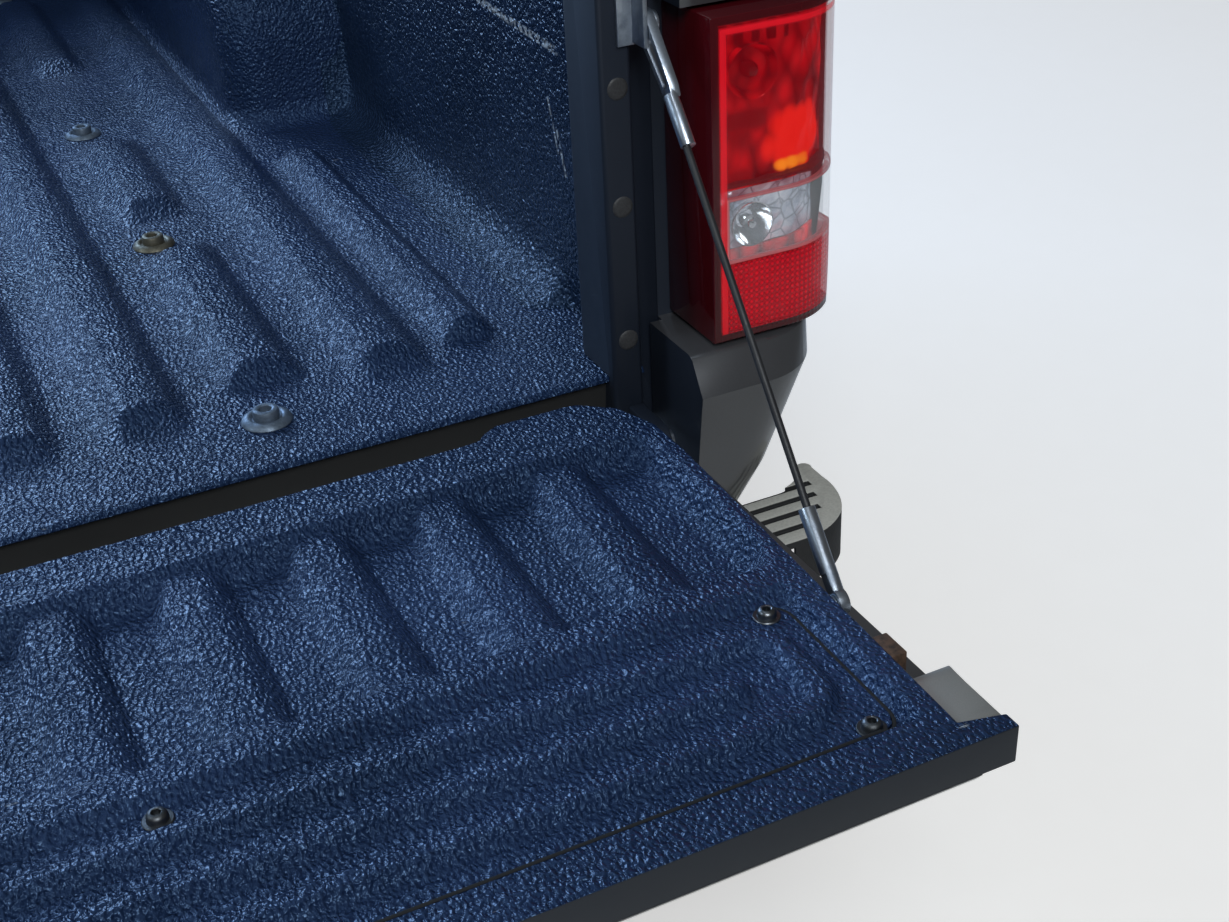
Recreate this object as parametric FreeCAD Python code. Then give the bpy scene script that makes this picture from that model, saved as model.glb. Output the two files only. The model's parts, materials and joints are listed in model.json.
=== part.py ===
import FreeCAD, Part
import os
from math import atan2, degrees, sqrt

# Load bed of a compact pickup, with its tailgate let down on two folding cables.
# Millimetres. +X is the truck's right, +Y is forward, +Z is up.
# Places are measured from the rear edge of the bed floor, on its centre line, at its top face.
# Each piece is moved as it is saved, so that the origin is the centre of the outer bed bolts,
# on the underside of the cross sills.

V = FreeCAD.Vector

# Bed floor
FLOOR_LENGTH = 1840.0
WALL_INNER = 687.0
FLOOR_SHEET = 4.0
FLOOR_LIP_ROUND = 3.5
RIB_HEIGHT = 18.0
RIB_BASE = 80.0
RIB_TOP = 28.0
RIB_END_SLOPE = 28.0
RIB_REAR = 108.0
RIB_FRONT = FLOOR_LENGTH - 40.0
FIRST_RIB = 55.0
LAST_RIB_MARGIN = 45.0
BAY_RIB_MARGIN = 112.0
BAY_RIB_BASE = 56.0
BAY_RIB_TOP = 24.0
BED_DEPTH = 436.0

# Bed bolts, in four rows of two. The middle rows are placed as shares of the way.
BOLT_X = 367.0
BOLT_REAR_ROW = 80.0
BOLT_FRONT_GAP = 200.0
BOLT_FRONT_ROW = FLOOR_LENGTH - BOLT_FRONT_GAP
BOLT_SPAN = BOLT_FRONT_ROW - BOLT_REAR_ROW
BOLT_ROWS = (BOLT_REAR_ROW, BOLT_REAR_ROW + 0.2788462 * BOLT_SPAN, BOLT_REAR_ROW + 0.5352564 * BOLT_SPAN,
             BOLT_FRONT_ROW)
BOLT_RADIUS = 6.0
BOLT_HOLE_RADIUS = 8.0
BOLT_STICK_OUT = 34.0
BOLT_HEAD_RADIUS = 11.0
BOLT_HEAD_HEIGHT = 12.0
BOLT_CUP_RADIUS = 22.0
BOLT_CUP_TOP_RADIUS = 16.0
BOLT_CUP_HEIGHT = 5.0
BOLT_SOCKET_RADIUS = 6.0
BOLT_SOCKET_DEPTH = 7.0

# Cross sills under the floor
SILL_HEIGHT = 60.0
SILL_REAR_GAP = 6.0
SILL_WIDTH = 76.0
SILL_TAPER = 8.0
SILL_HALF_LENGTH = WALL_INNER - 15.0

# Front panel
FRONT_THICK = 34.0
FRONT_ROUND = 9.0
FRONT_BAR_RISE = 10.0
FRONT_BAR_SLOPE = 20.0
FRONT_BAR_HALF = WALL_INNER - 67.0
FRONT_BARS = ((50.0, 140.0), (175.0, 265.0), (300.0, 390.0))

# Bedsides
RAIL_INNER = WALL_INNER - 37.0
RAIL_DEPTH = 31.0
RAIL_ROUND = 7.0
SIDE_DEEPEST = 181.0
SIDE_WIDEST = WALL_INNER + SIDE_DEEPEST
SIDE_BOTTOM = -135.0
SIDE_FRONT_LAP = 5.0
CORNER_INNER = WALL_INNER + 25.0
CORNER_FOOT_INNER = WALL_INNER + 13.0
CORNER_FRONT = 42.0
CORNER_REAR = -62.0
CORNER_TOP_REAR = -35.0
CORNER_ROUND = 70.0
SHOULDER_REAR = -84.0
STAKE_FRONT_GAP = 280.0
STAKE_POCKETS = (430.0, FLOOR_LENGTH - STAKE_FRONT_GAP)
STAKE_INNER = WALL_INNER + 13.0
STAKE_WIDTH = 42.0
STAKE_LENGTH = 62.0
STAKE_DEPTH = 90.0

# Wheel arches
WHEEL_FRONT_GAP = 680.0
WHEEL_Y = FLOOR_LENGTH - WHEEL_FRONT_GAP
ARCH_RADIUS = 400.0
ARCH_CENTRE_Z = -300.0
ARCH_LIP_WIDTH = 26.0
ARCH_LIP_DEPTH = 68.0
ARCH_LIP_PROUD = 8.0
HOUSE_WIDE = 149.0
HOUSE_INNER = WALL_INNER - HOUSE_WIDE
HOUSE_HALF_LENGTH = 345.0
HOUSE_HEIGHT = 232.0
HOUSE_SHELL = 5.0
HOUSE_SKIRT = 50.0
HOUSE_ROUND = 55.0
HOUSE_TURN = 150.0
HOUSE_REAR = WHEEL_Y - HOUSE_HALF_LENGTH
HOUSE_FRONT = WHEEL_Y + HOUSE_HALF_LENGTH

# Rear pillars
PILLAR_INNER = WALL_INNER - 35.0
PILLAR_STRIP = 28.0
PILLAR_REAR = -12.0
PILLAR_ROUND = 4.0
PILLAR_FACET_FRONT = CORNER_FRONT + 52.0
PILLAR_FACET_REAR = CORNER_FRONT + 10.0
CHANNEL_FLOOR = 18.0
PILLAR_BOTTOM = -60.0

# Tail lamps
LAMP_INNER = CORNER_INNER + 12.0
LAMP_BOTTOM = 40.0
LAMP_TOP = BED_DEPTH - 118.0
LAMP_GAP = 4.0
LAMP_FRONT = 20.0
LAMP_BACK_REAR = -14.0
LENS_SHELL = 4.0
WINDOW_BOTTOM = LAMP_BOTTOM + 73.0
WINDOW_TALL = 52.0
WINDOW_TOP = WINDOW_BOTTOM + WINDOW_TALL
WINDOW_INNER = LAMP_INNER + 16.0
WINDOW_FRONT = 4.0
SHELF_RISE = 6.0
SHELF_THICK = 3.0
BOWL_X = LAMP_INNER + 58.0
BOWL_DEEP = 26.0
BOWL_WALL = 3.0
BOWL_BACK_SHARE = 0.45
BOWL_EDGE = 20.0
# The upper bowl takes a fifth of the room above the window as its radius
STOP_BOWL_RADIUS = (LAMP_TOP - WINDOW_TOP) / 5.1
WINDOW_BOWL_UP = 25.0
WINDOW_BOWL_RADIUS = 22.0
BOWLS = ((LAMP_TOP - BOWL_EDGE - STOP_BOWL_RADIUS, STOP_BOWL_RADIUS),
         (WINDOW_BOTTOM + WINDOW_BOWL_UP, WINDOW_BOWL_RADIUS))
BULB_RADIUS = 8.0
BULB_LENGTH = 18.0

# Tailgate, drawn open and level
GATE_TOP = -8.0
GATE_HINGE_EDGE = -33.0
GATE_SHOULDER_EDGE = GATE_HINGE_EDGE + 18.0
GATE_TALL = 504.0
GATE_FREE_EDGE = GATE_HINGE_EDGE - GATE_TALL
GATE_SIDE = PILLAR_INNER + 5.0
GATE_SIDE_AT_FREE_EDGE = GATE_SIDE - 11.0
GATE_EAR = GATE_SIDE + 21.0
GATE_EAR_WIDTH = 13.0
GATE_EAR_SLOPE = 8.0
SHOULDER_FROM_SIDE = 142.0
SHOULDER_TO_SIDE = 47.0
SHOULDER_START = GATE_SIDE - SHOULDER_FROM_SIDE
SHOULDER_END = GATE_SIDE - SHOULDER_TO_SIDE
GATE_INNER_THICK = 30.0
GATE_EDGE_ROUND = 8.0
GATE_SKIN_BULGE = -64.0
GATE_SKIN_HALF = GATE_SIDE + 34.0
WING_FLAT = GATE_SIDE + 10.0
WING_CREST = GATE_TOP - 3.0
WING_FOOT = GATE_TOP - 30.0
GATE_FLANGE_START = GATE_HINGE_EDGE - 62.0
RECESS_HALF = GATE_SIDE - 12.0
RECESS_START = GATE_HINGE_EDGE - 52.0
RECESS_WIDE = 220.0
RECESS_END = RECESS_START - RECESS_WIDE
RECESS_DEPTH = 20.0
RECESS_SLOPE = 20.0
GATE_RIB_PITCH = 100.8
GATE_RIB_COUNT = 12
GATE_RIB_BASE = 50.0
GATE_RIB_TOP = 27.0
GATE_RIB_RISE = 10.0
GATE_RIB_END_LAP = 5.0

# Access cover on the tailgate
COVER_HALF = GATE_SIDE - 38.0
COVER_START = RECESS_END - 35.0
COVER_END = GATE_FREE_EDGE + 40.0
COVER_SHEET = 2.5
COVER_SINK = 8.0
COVER_CORNER = 20.0
COVER_STEP = 12.0
COVER_SIDE_GAP = 3.0
COVER_START_GAP = 2.0
BEAD_RISE = 5.0
BEAD_WIDTH = 26.0
BEAD_SOFTEN = BEAD_RISE - 0.6
BEAD_RING_HALF = COVER_HALF - 13.0
BEAD_RING_START = COVER_START - 16.0
BEAD_RING_END = COVER_END + 27.0
BEAD_RING_ROUND = 34.0
BEAD_BAR_HALF = COVER_HALF - 64.0
BEAD_BAR_Y = (BEAD_RING_START + BEAD_RING_END) / 2
INNER_SCREW_X = 175.0
OUTER_SCREW_X = COVER_HALF - 15.0
COVER_SCREWS = ((INNER_SCREW_X, COVER_START - 8.0), (OUTER_SCREW_X, COVER_START - 11.0),
                (OUTER_SCREW_X - 3.0, COVER_END + 10.0), (INNER_SCREW_X, COVER_END + 9.0))
SCREW_RADIUS = 7.0
SCREW_HEIGHT = 7.0
SCREW_ROUND = 4.2
SCREW_SOCKET_RADIUS = 3.0
SCREW_SOCKET_FLOOR = 3.0

# Tailgate hinge, handle and latches
HINGE_Y = GATE_HINGE_EDGE - 20.5
HINGE_Z = GATE_TOP - 35.5
PIN_RADIUS = 9.0
PIN_CLEARANCE = 0.06
PIN_ROOT_X = GATE_SIDE - 35.0
PIN_END_PROUD = 6.0
BRACKET_X = GATE_SIDE + 7.0
BRACKET_THICK = 14.0
BRACKET_BOSS = 17.0
BRACKET_ARM_DROP = 14.5
HANDLE_Y = GATE_FREE_EDGE + 112.0
HANDLE_WIDTH = 230.0
HANDLE_HEIGHT = 84.0
HANDLE_DEPTH = 16.0
HANDLE_SEAT = 3.0
HANDLE_CORNER = 14.0
HANDLE_RIM = 8.0
HANDLE_LIP = 4.0
PADDLE_HALF = 75.0
PADDLE_THICK = 5.0
PADDLE_INSET = 7.0
PADDLE_REACH = 6.0
PADDLE_STEM = 7.0
PADDLE_STEM_INSET = 10.0
LATCH_X = GATE_SIDE_AT_FREE_EDGE + 1.0
LATCH_PROUD = 14.0
LATCH_Y = GATE_FREE_EDGE + 110.0
LATCH_LENGTH = 25.0
LATCH_BOTTOM = GATE_TOP - 18.0
LATCH_TOP = GATE_TOP - 1.0

# Tailgate cables
ANCHOR = V(WALL_INNER + 1.0, PILLAR_REAR - 11.0, BED_DEPTH - 124.0)
STUD_UP_GATE = 312.0
STUD = V(GATE_SIDE + 11.0, GATE_HINGE_EDGE - STUD_UP_GATE, GATE_TOP - 22.0)
UPPER_LINK = 253.8
BEND_LINK = 26.0
FOLD_OUTER_X = GATE_SIDE + 24.0
FOLD_INNER_X = GATE_SIDE + 17.2
CABLE_RADIUS = 3.0
CABLE_TIP = 0.3
CABLE_POINT = 4.6
BEND_GAP = 0.9
EYE_LENGTH = 66.0
EYE_THICK = 8.0
EYE_RADIUS = 11.0
EYE_BAR = 5.0
EYE_NECK_HALF = 5.0
ANCHOR_PIN_RADIUS = 5.0
FERRULE_LENGTH = 40.0
FERRULE_RADIUS = 6.0
FERRULE_LAP = 3.0
SLEEVE_LENGTH = 66.0
SLEEVE_RADIUS = 6.5
SLEEVE_END_GAP = 6.0
SLEEVE_FLAT = 22.0
STUD_RADIUS = 7.0
SEAT_GAP = 0.3
KEEPER_INNER = PILLAR_INNER + 15.0
KEEPER_THICK = 4.0
KEEPER_DROP = 18.0
KEEPER_RISE = 60.0
BUTTON_RADIUS = 9.0
BUTTON_THICK = 4.0

# Fuel door in the left bedside
FUEL_FROM_FRONT = 180.0
FUEL_FROM_TOP = 174.0
FUEL_Y = FLOOR_LENGTH - FUEL_FROM_FRONT
FUEL_Z = BED_DEPTH - FUEL_FROM_TOP
FUEL_SIZE = 150.0
FUEL_CORNER = 24.0
FUEL_GAP = 5.0
FUEL_DOOR_THICK = 14.0
FUEL_POCKET = 62.0
FUEL_CAP_RADIUS = 36.0
FUEL_NECK = 12.0
FUEL_NECK_RADIUS = 30.0
FUEL_CAP_THICK = 16.0
FUEL_GRIP_HALF = 6.0
FUEL_GRIP_PROUD = 10.0
FUEL_HINGE_PROUD = 1.5
FUEL_HINGE_RADIUS = 4.0
FUEL_HINGE_PIN = 1.8
FUEL_BARREL_HALF = 14.0
FUEL_BARREL_Z = 40.0
FUEL_LUG_GAP = 0.6
FUEL_PIN_HALF = 62.0
FUEL_LUG_SIZE = 12.0

# Rear bumper
PAD_TOP = -155.0
PAD_THICK = 8.0
PAD_FRONT = -22.0
PAD_REAR = PAD_FRONT - 82.0
PAD_END = SIDE_WIDEST - 6.0
PAD_SKIRT = 42.0
PAD_SKIRT_WALL = 4.0
PAD_SKIRT_FROM = PAD_END - 80.0
PAD_SPLIT = 245.0
PAD_SEAM = 4.0
PAD_SLOTS = ((PAD_FRONT - 3.0, PAD_END - 16.0), (PAD_FRONT - 22.0, PAD_END - 22.0),
             (PAD_FRONT - 42.0, PAD_END - 30.0), (PAD_FRONT - 63.0, PAD_END - 47.0))
PAD_SLOT_WIDTH = 8.0
PAD_SLOT_DEPTH = 4.0
PAD_SLOT_START = 24.0
BALL_WELL_RADIUS = 34.0
BALL_WELL_HALF = 50.0
BAR_HALF = SIDE_WIDEST - 90.0
BAR_SHEET = 4.0
BAR_HEIGHT = 170.0
BAR_ROUND = 10.0
BAR_REAR = PAD_REAR - 4.0
BAR_TOP_FRONT = PAD_FRONT + 4.0
BAR_FOOT_FRONT = PAD_FRONT - 26.5
BALL_HOLE_RADIUS = 13.0
BALL_HOLE_Y = PAD_FRONT - 42.0
BUMPER_BRACKET_X = 430.0
BUMPER_BRACKET_THICK = 8.0
BRACKET_HEAD = 78.0
BRACKET_WAIST = 56.0
BRACKET_KNEE = 60.0
BRACKET_FOOT_LOW = 100.0
BUMPER_FOOT_HALF = 30.0
BUMPER_FOOT_THICK = 6.0
BUMPER_HOLES = (30.0, 75.0)
BUMPER_HOLE_Z = -88.0
BUMPER_HOLE_RADIUS = 6.5
PLATE_WIDTH = 305.0
PLATE_HEIGHT = 152.0
PLATE_THICK = 3.0
PLATE_CORNER = 8.0

# The origin's place, from the rear edge of the floor's top face
ORIGIN = V(0, (BOLT_ROWS[0] + BOLT_ROWS[-1]) / 2, -FLOOR_SHEET - SILL_HEIGHT)


def box(x0, x1, y0, y1, z0, z1):
    return Part.makeBox(x1 - x0, y1 - y0, z1 - z0, V(x0, y0, z0))


def rod(x0, x1, y, z, radius):
    # A round bar along X
    return Part.makeCylinder(radius, x1 - x0, V(x0, y, z), V(1, 0, 0))


def post(x, y, z0, z1, radius):
    # A round bar along Z
    return Part.makeCylinder(radius, z1 - z0, V(x, y, z0), V(0, 0, 1))


def mirrored(shape):
    return shape.mirror(V(0, 0, 0), V(1, 0, 0))


def joined(shapes):
    return shapes[0].fuse(list(shapes[1:])).removeSplitter()


def closed_line(plane, points, low):
    # A closed line. A point of four numbers is an arc's middle and end.
    place = {
        "xz": lambda a, b: V(a, low, b),
        "yz": lambda a, b: V(low, a, b),
        "xy": lambda a, b: V(a, b, low),
    }[plane]
    edges = []
    here = place(*points[0])
    for point in list(points[1:]) + [points[0]]:
        there = place(*point[-2:])
        if len(point) == 4:
            edges.append(Part.Arc(here, place(*point[:2]), there).toShape())
        elif (there - here).Length > 1e-6:
            edges.append(Part.LineSegment(here, there).toShape())
        here = there
    return Part.Wire(edges)


def prism(plane, points, low, high):
    # A closed outline, pulled from low to high
    pull = {"xz": V(0, high - low, 0), "yz": V(high - low, 0, 0), "xy": V(0, 0, high - low)}[plane]
    return Part.Face(closed_line(plane, points, low)).extrude(pull)


def pressing(x0, x1, y0, y1, z, height, slope_x, slope_y0, slope_y1):
    # A tapered block from a base rectangle. A negative height makes it a hollow's shape.
    rise = abs(height)
    wedge = Part.makeWedge(
        x0, 0, -y1, -(y1 - slope_y1), x0 + slope_x,
        x1, rise, -y0, -(y0 + slope_y0), x1 - slope_x)
    wedge.rotate(V(0, 0, 0), V(1, 0, 0), 90)
    if height < 0:
        wedge = wedge.mirror(V(0, 0, 0), V(0, 0, 1))
    wedge.translate(V(0, 0, z))
    return wedge


def rounded_plate(x0, x1, y0, y1, z0, z1, radius):
    plate = box(x0, x1, y0, y1, z0, z1)
    corners = [e for e in plate.Edges if e.BoundBox.ZLength > z1 - z0 - 0.001]
    return plate.makeFillet(radius, corners)


def saved(name, shape):
    shape = shape.copy()
    shape.translate(V(0, 0, 0) - ORIGIN)
    shape.exportStep("parts/" + name + ".step")


def saved_pair(name, shape):
    # A piece of the right side and its mirror image on the left
    saved(name + "_right", shape)
    saved(name + "_left", mirrored(shape))


# Floor ribs of the right half, evenly spaced, as centre, base width, top width, rear and front end.
# The fourth makes room for the bed bolts, and the outermost for the wheelhouse.
RIB_PITCH = (HOUSE_INNER - LAST_RIB_MARGIN - FIRST_RIB) / 4
LONG_RIBS = [(FIRST_RIB + number * RIB_PITCH, RIB_BASE, RIB_TOP, RIB_REAR, RIB_FRONT)
             for number in (0, 1, 2, 4)]
BOLT_RIB = FIRST_RIB + 3 * RIB_PITCH
SHORT_RIBS = [(BOLT_RIB, RIB_BASE, RIB_TOP, BOLT_ROWS[0] + 60, BOLT_ROWS[1] - 29),
              (BOLT_RIB, RIB_BASE, RIB_TOP, BOLT_ROWS[1] + 75, BOLT_ROWS[2] - 55),
              (BOLT_RIB, RIB_BASE, RIB_TOP, BOLT_ROWS[2] + 275, BOLT_ROWS[3] - 50),
              (BOLT_RIB, RIB_BASE, RIB_TOP, BOLT_ROWS[3] + 50, RIB_FRONT)]
BAY_RIB = WALL_INNER - BAY_RIB_MARGIN
BAY_RIBS = [(BAY_RIB, BAY_RIB_BASE, BAY_RIB_TOP, RIB_REAR + 22, HOUSE_REAR - 120),
            (BAY_RIB, BAY_RIB_BASE, BAY_RIB_TOP, HOUSE_FRONT + 60, RIB_FRONT)]
FLOOR_RIBS = LONG_RIBS + SHORT_RIBS + BAY_RIBS


def floor_pan():
    sheet = box(-WALL_INNER, WALL_INNER, 0, FLOOR_LENGTH, -FLOOR_SHEET, 0)
    lip = [e for e in sheet.Edges if e.BoundBox.YMax < 0.01 and abs(e.BoundBox.ZMin) < 0.01
           and e.BoundBox.XLength > WALL_INNER]
    sheet = sheet.makeFillet(FLOOR_LIP_ROUND, lip)
    ribs = []
    hollows = []
    for centre, base, top, rear, front in FLOOR_RIBS:
        for side in (-1, 1):
            x0 = side * centre - base / 2
            x1 = side * centre + base / 2
            slope = (base - top) / 2
            ribs.append(pressing(x0, x1, rear, front, 0, RIB_HEIGHT, slope, RIB_END_SLOPE, RIB_END_SLOPE))
            hollow = pressing(x0, x1, rear, front, -FLOOR_SHEET, RIB_HEIGHT, slope,
                              RIB_END_SLOPE, RIB_END_SLOPE)
            hollows.append(hollow)
    sheet = sheet.fuse(ribs)
    sheet = sheet.cut(hollows)
    for side in (-1, 1):
        x0, x1 = sorted((side * HOUSE_INNER, side * WALL_INNER))
        sheet = sheet.cut(box(x0, x1, HOUSE_REAR, HOUSE_FRONT, -FLOOR_SHEET, RIB_HEIGHT))
        for row in BOLT_ROWS:
            sheet = sheet.cut(post(side * BOLT_X, row, -FLOOR_SHEET, 1, BOLT_HOLE_RADIUS))
    return sheet.removeSplitter()


def cross_sills():
    # Rear edge, front edge and half length of each sill
    mid = SILL_WIDTH / 2
    short = HOUSE_INNER
    front_mid = (BOLT_ROWS[2] + BOLT_ROWS[3]) / 2
    rows = (
        (SILL_REAR_GAP, BOLT_ROWS[0] + mid, PILLAR_INNER),
        (BOLT_ROWS[1] - mid, BOLT_ROWS[1] + mid, SILL_HALF_LENGTH),
        (BOLT_ROWS[2] - mid, BOLT_ROWS[2] + mid, short),
        (front_mid - mid, front_mid + mid, short),
        (BOLT_ROWS[3] - mid, BOLT_ROWS[3] + mid, SILL_HALF_LENGTH),
    )
    sills = []
    low = -FLOOR_SHEET - SILL_HEIGHT
    for rear, front, half in rows:
        outline = [(rear, -FLOOR_SHEET), (rear + SILL_TAPER, low), (front - SILL_TAPER, low),
                   (front, -FLOOR_SHEET)]
        sill = prism("yz", outline, -half, half)
        for side in (-1, 1):
            for row in BOLT_ROWS:
                sill = sill.cut(post(side * BOLT_X, row, low, -FLOOR_SHEET, BOLT_HOLE_RADIUS))
        sills.append(sill)
    return Part.makeCompound(sills)


def bed_bolts():
    bolts = []
    sill_bottom = -FLOOR_SHEET - SILL_HEIGHT
    for side in (-1, 1):
        for row in BOLT_ROWS:
            x = side * BOLT_X
            cup = Part.makeCone(BOLT_CUP_RADIUS, BOLT_CUP_TOP_RADIUS, BOLT_CUP_HEIGHT, V(x, row, 0))
            head = post(x, row, 0, BOLT_HEAD_HEIGHT, BOLT_HEAD_RADIUS)
            neck = post(x, row, sill_bottom, 1, BOLT_HOLE_RADIUS)
            shank = post(x, row, sill_bottom - BOLT_STICK_OUT, sill_bottom + 1, BOLT_RADIUS)
            socket = post(x, row, BOLT_HEAD_HEIGHT - BOLT_SOCKET_DEPTH, BOLT_HEAD_HEIGHT + 1,
                          BOLT_SOCKET_RADIUS)
            bolts.append(joined([cup, head, neck, shank]).cut(socket))
    return Part.makeCompound(bolts)


def front_panel():
    panel = box(-WALL_INNER, WALL_INNER, FLOOR_LENGTH, FLOOR_LENGTH + FRONT_THICK, -FLOOR_SHEET, BED_DEPTH)
    top = [e for e in panel.Edges if e.BoundBox.ZMin > BED_DEPTH - 0.01 and e.BoundBox.XLength > WALL_INNER]
    panel = panel.makeFillet(FRONT_ROUND, top)
    bars = []
    for low, high in FRONT_BARS:
        bar = pressing(-FRONT_BAR_HALF, FRONT_BAR_HALF, low, high, 0, FRONT_BAR_RISE, FRONT_BAR_SLOPE,
                       FRONT_BAR_SLOPE, FRONT_BAR_SLOPE)
        bar.rotate(V(0, 0, 0), V(1, 0, 0), 90)
        bar.translate(V(0, FLOOR_LENGTH, 0))
        bars.append(bar)
    panel = joined([panel] + bars)
    for x0, x1 in ((-WALL_INNER, -RAIL_INNER), (RAIL_INNER, WALL_INNER)):
        panel = panel.cut(box(x0, x1, FLOOR_LENGTH - FRONT_BAR_RISE, FLOOR_LENGTH + FRONT_THICK,
                              BED_DEPTH - RAIL_DEPTH, BED_DEPTH))
    return panel


# Outer skin of a bedside from the rail down, as x and z, with each arc's middle point first
SKIN = (
    (SIDE_WIDEST - 22.0, BED_DEPTH),
    (SIDE_WIDEST - 13.5, BED_DEPTH - 3.5, SIDE_WIDEST - 10.0, BED_DEPTH - 12.0),
    (SIDE_WIDEST, 230.0, SIDE_WIDEST - 20.0, 30.0),
    (SIDE_WIDEST - 29.0, -35.0, SIDE_WIDEST - 56.0, -95.0),
    (SIDE_WIDEST - 93.0, SIDE_BOTTOM),
)


# The corner below the lamp, from its ledge down: height, rear edge, side at its front and at its rear
CORNER_FOOT_FRONT = CHANNEL_FLOOR - 6.0
CORNER_FOOT = ((LAMP_BOTTOM - LAMP_GAP, CORNER_REAR + 2, SIDE_WIDEST - 19.3, SIDE_WIDEST - 24.0),
               (LAMP_BOTTOM - LAMP_GAP - 3, CORNER_REAR - 4, SIDE_WIDEST - 19.6, SIDE_WIDEST - 25.0),
               (4.0, SHOULDER_REAR, SIDE_WIDEST - 22.8, SIDE_WIDEST - 34.0),
               (-8.0, SHOULDER_REAR + 2, SIDE_WIDEST - 24.4, SIDE_WIDEST - 38.0),
               (-60.0, SHOULDER_REAR + 9, SIDE_WIDEST - 36.9, SIDE_WIDEST - 56.0),
               (-95.0, SHOULDER_REAR + 13, SIDE_WIDEST - 56.0, SIDE_WIDEST - 69.0),
               (SIDE_BOTTOM, SHOULDER_REAR + 18, SIDE_WIDEST - 93.0, SIDE_WIDEST - 93.0))


def bedside():
    rear = CORNER_FRONT
    front = FLOOR_LENGTH + FRONT_THICK + SIDE_FRONT_LAP
    rail_under = BED_DEPTH - RAIL_DEPTH
    inner = [(SIDE_WIDEST - 100.0, SIDE_BOTTOM + 4), (SIDE_WIDEST - 68.0, -92.0),
             (SIDE_WIDEST - 46.0, -35.0), (SIDE_WIDEST - 46.0, -FLOOR_SHEET),
             (WALL_INNER, -FLOOR_SHEET), (WALL_INNER, rail_under), (RAIL_INNER, rail_under),
             (RAIL_INNER, BED_DEPTH)]
    wall = prism("xz", list(SKIN) + inner, rear, front)
    rail_edges = [e for e in wall.Edges if e.BoundBox.XMax < RAIL_INNER + 0.01 and e.BoundBox.YLength > 100]
    wall = wall.makeFillet(RAIL_ROUND, rail_edges)
    return wall


def corner_plan(side_x, front_x, rear, inner=CORNER_INNER):
    # From above: the side drawn in a little towards the rear, then the round corner
    turn = CORNER_ROUND
    middle = turn * (1 - 1 / sqrt(2))
    return [(CORNER_INNER, CORNER_FRONT), (front_x, CORNER_FRONT), (side_x, rear + turn),
            (side_x - middle, rear + middle, side_x - turn, rear), (inner, rear)]


def corner_block(rear):
    # The closed rear corner of the bedside from the lamp's ledge to the rail, with no lamp cut in it
    block = prism("xz", list(SKIN) + [(CORNER_INNER, SIDE_BOTTOM), (CORNER_INNER, BED_DEPTH)],
                  SHOULDER_REAR - 1, CORNER_FRONT)
    plan = corner_plan(SIDE_WIDEST, SIDE_WIDEST, rear)
    return block.common(prism("xy", plan, LAMP_BOTTOM - LAMP_GAP, BED_DEPTH))


def corner_foot():
    # The corner below the lamp: a shoulder, then a panel that leans forward and inward
    levels = []
    for z, rear, front_x, side_x in CORNER_FOOT:
        plan = corner_plan(side_x, front_x, rear, CORNER_FOOT_INNER)
        plan += [(CORNER_FOOT_INNER, CORNER_FOOT_FRONT), (CORNER_INNER, CORNER_FOOT_FRONT)]
        levels.append(closed_line("xy", plan, z))
    return Part.makeLoft(levels, True, True)


def lamp_space(grow):
    # The room of the tail lamp, grown by a gap on its free sides
    return box(LAMP_INNER - grow, SIDE_WIDEST + 1, CORNER_REAR - 1, LAMP_FRONT,
               LAMP_BOTTOM - grow, LAMP_TOP + grow)


def arch_ring(outer, x0, x1):
    return Part.makeCylinder(outer, x1 - x0, V(x0, WHEEL_Y, ARCH_CENTRE_Z), V(1, 0, 0))


def bedside_right():
    pocket = box(CORNER_INNER, SIDE_WIDEST + 1, CORNER_REAR - 1, LAMP_FRONT, LAMP_BOTTOM - LAMP_GAP,
                 LAMP_TOP + LAMP_GAP)
    side = joined([bedside(), corner_block(CORNER_TOP_REAR).cut(pocket), corner_foot()])
    lip = arch_ring(ARCH_RADIUS + ARCH_LIP_WIDTH, SIDE_WIDEST - ARCH_LIP_DEPTH, SIDE_WIDEST)
    proud = bedside().common(lip)
    proud.translate(V(ARCH_LIP_PROUD, 0, 0))
    side = side.fuse(proud).removeSplitter()
    side = side.cut(arch_ring(ARCH_RADIUS, HOUSE_INNER, SIDE_WIDEST + 2 * ARCH_LIP_PROUD))
    for y in STAKE_POCKETS:
        side = side.cut(box(STAKE_INNER, STAKE_INNER + STAKE_WIDTH, y - STAKE_LENGTH / 2,
                            y + STAKE_LENGTH / 2, BED_DEPTH - STAKE_DEPTH, BED_DEPTH + 1))
    return side.removeSplitter()


def wheelhouse():
    def shell(gap, x0):
        # The house grown smaller by gap on every side, with its inner edge rounded
        rear = WHEEL_Y - HOUSE_HALF_LENGTH + gap
        front = WHEEL_Y + HOUSE_HALF_LENGTH - gap
        top = HOUSE_HEIGHT - gap
        turn = HOUSE_TURN - gap
        soft = turn * (1 - 1 / sqrt(2))
        outline = [(rear, -HOUSE_SKIRT), (rear, top - turn), (rear + soft, top - soft, rear + turn, top),
                   (front - turn, top), (front - soft, top - soft, front, top - turn),
                   (front, -HOUSE_SKIRT)]
        body = prism("yz", outline, x0, WALL_INNER)
        crown = [e for e in body.Edges if e.BoundBox.XMax < x0 + 0.01 and e.BoundBox.ZMax > 0]
        return body.makeFillet(HOUSE_ROUND - gap, crown)
    return shell(0, HOUSE_INNER).cut(shell(HOUSE_SHELL, HOUSE_INNER + HOUSE_SHELL))


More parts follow.
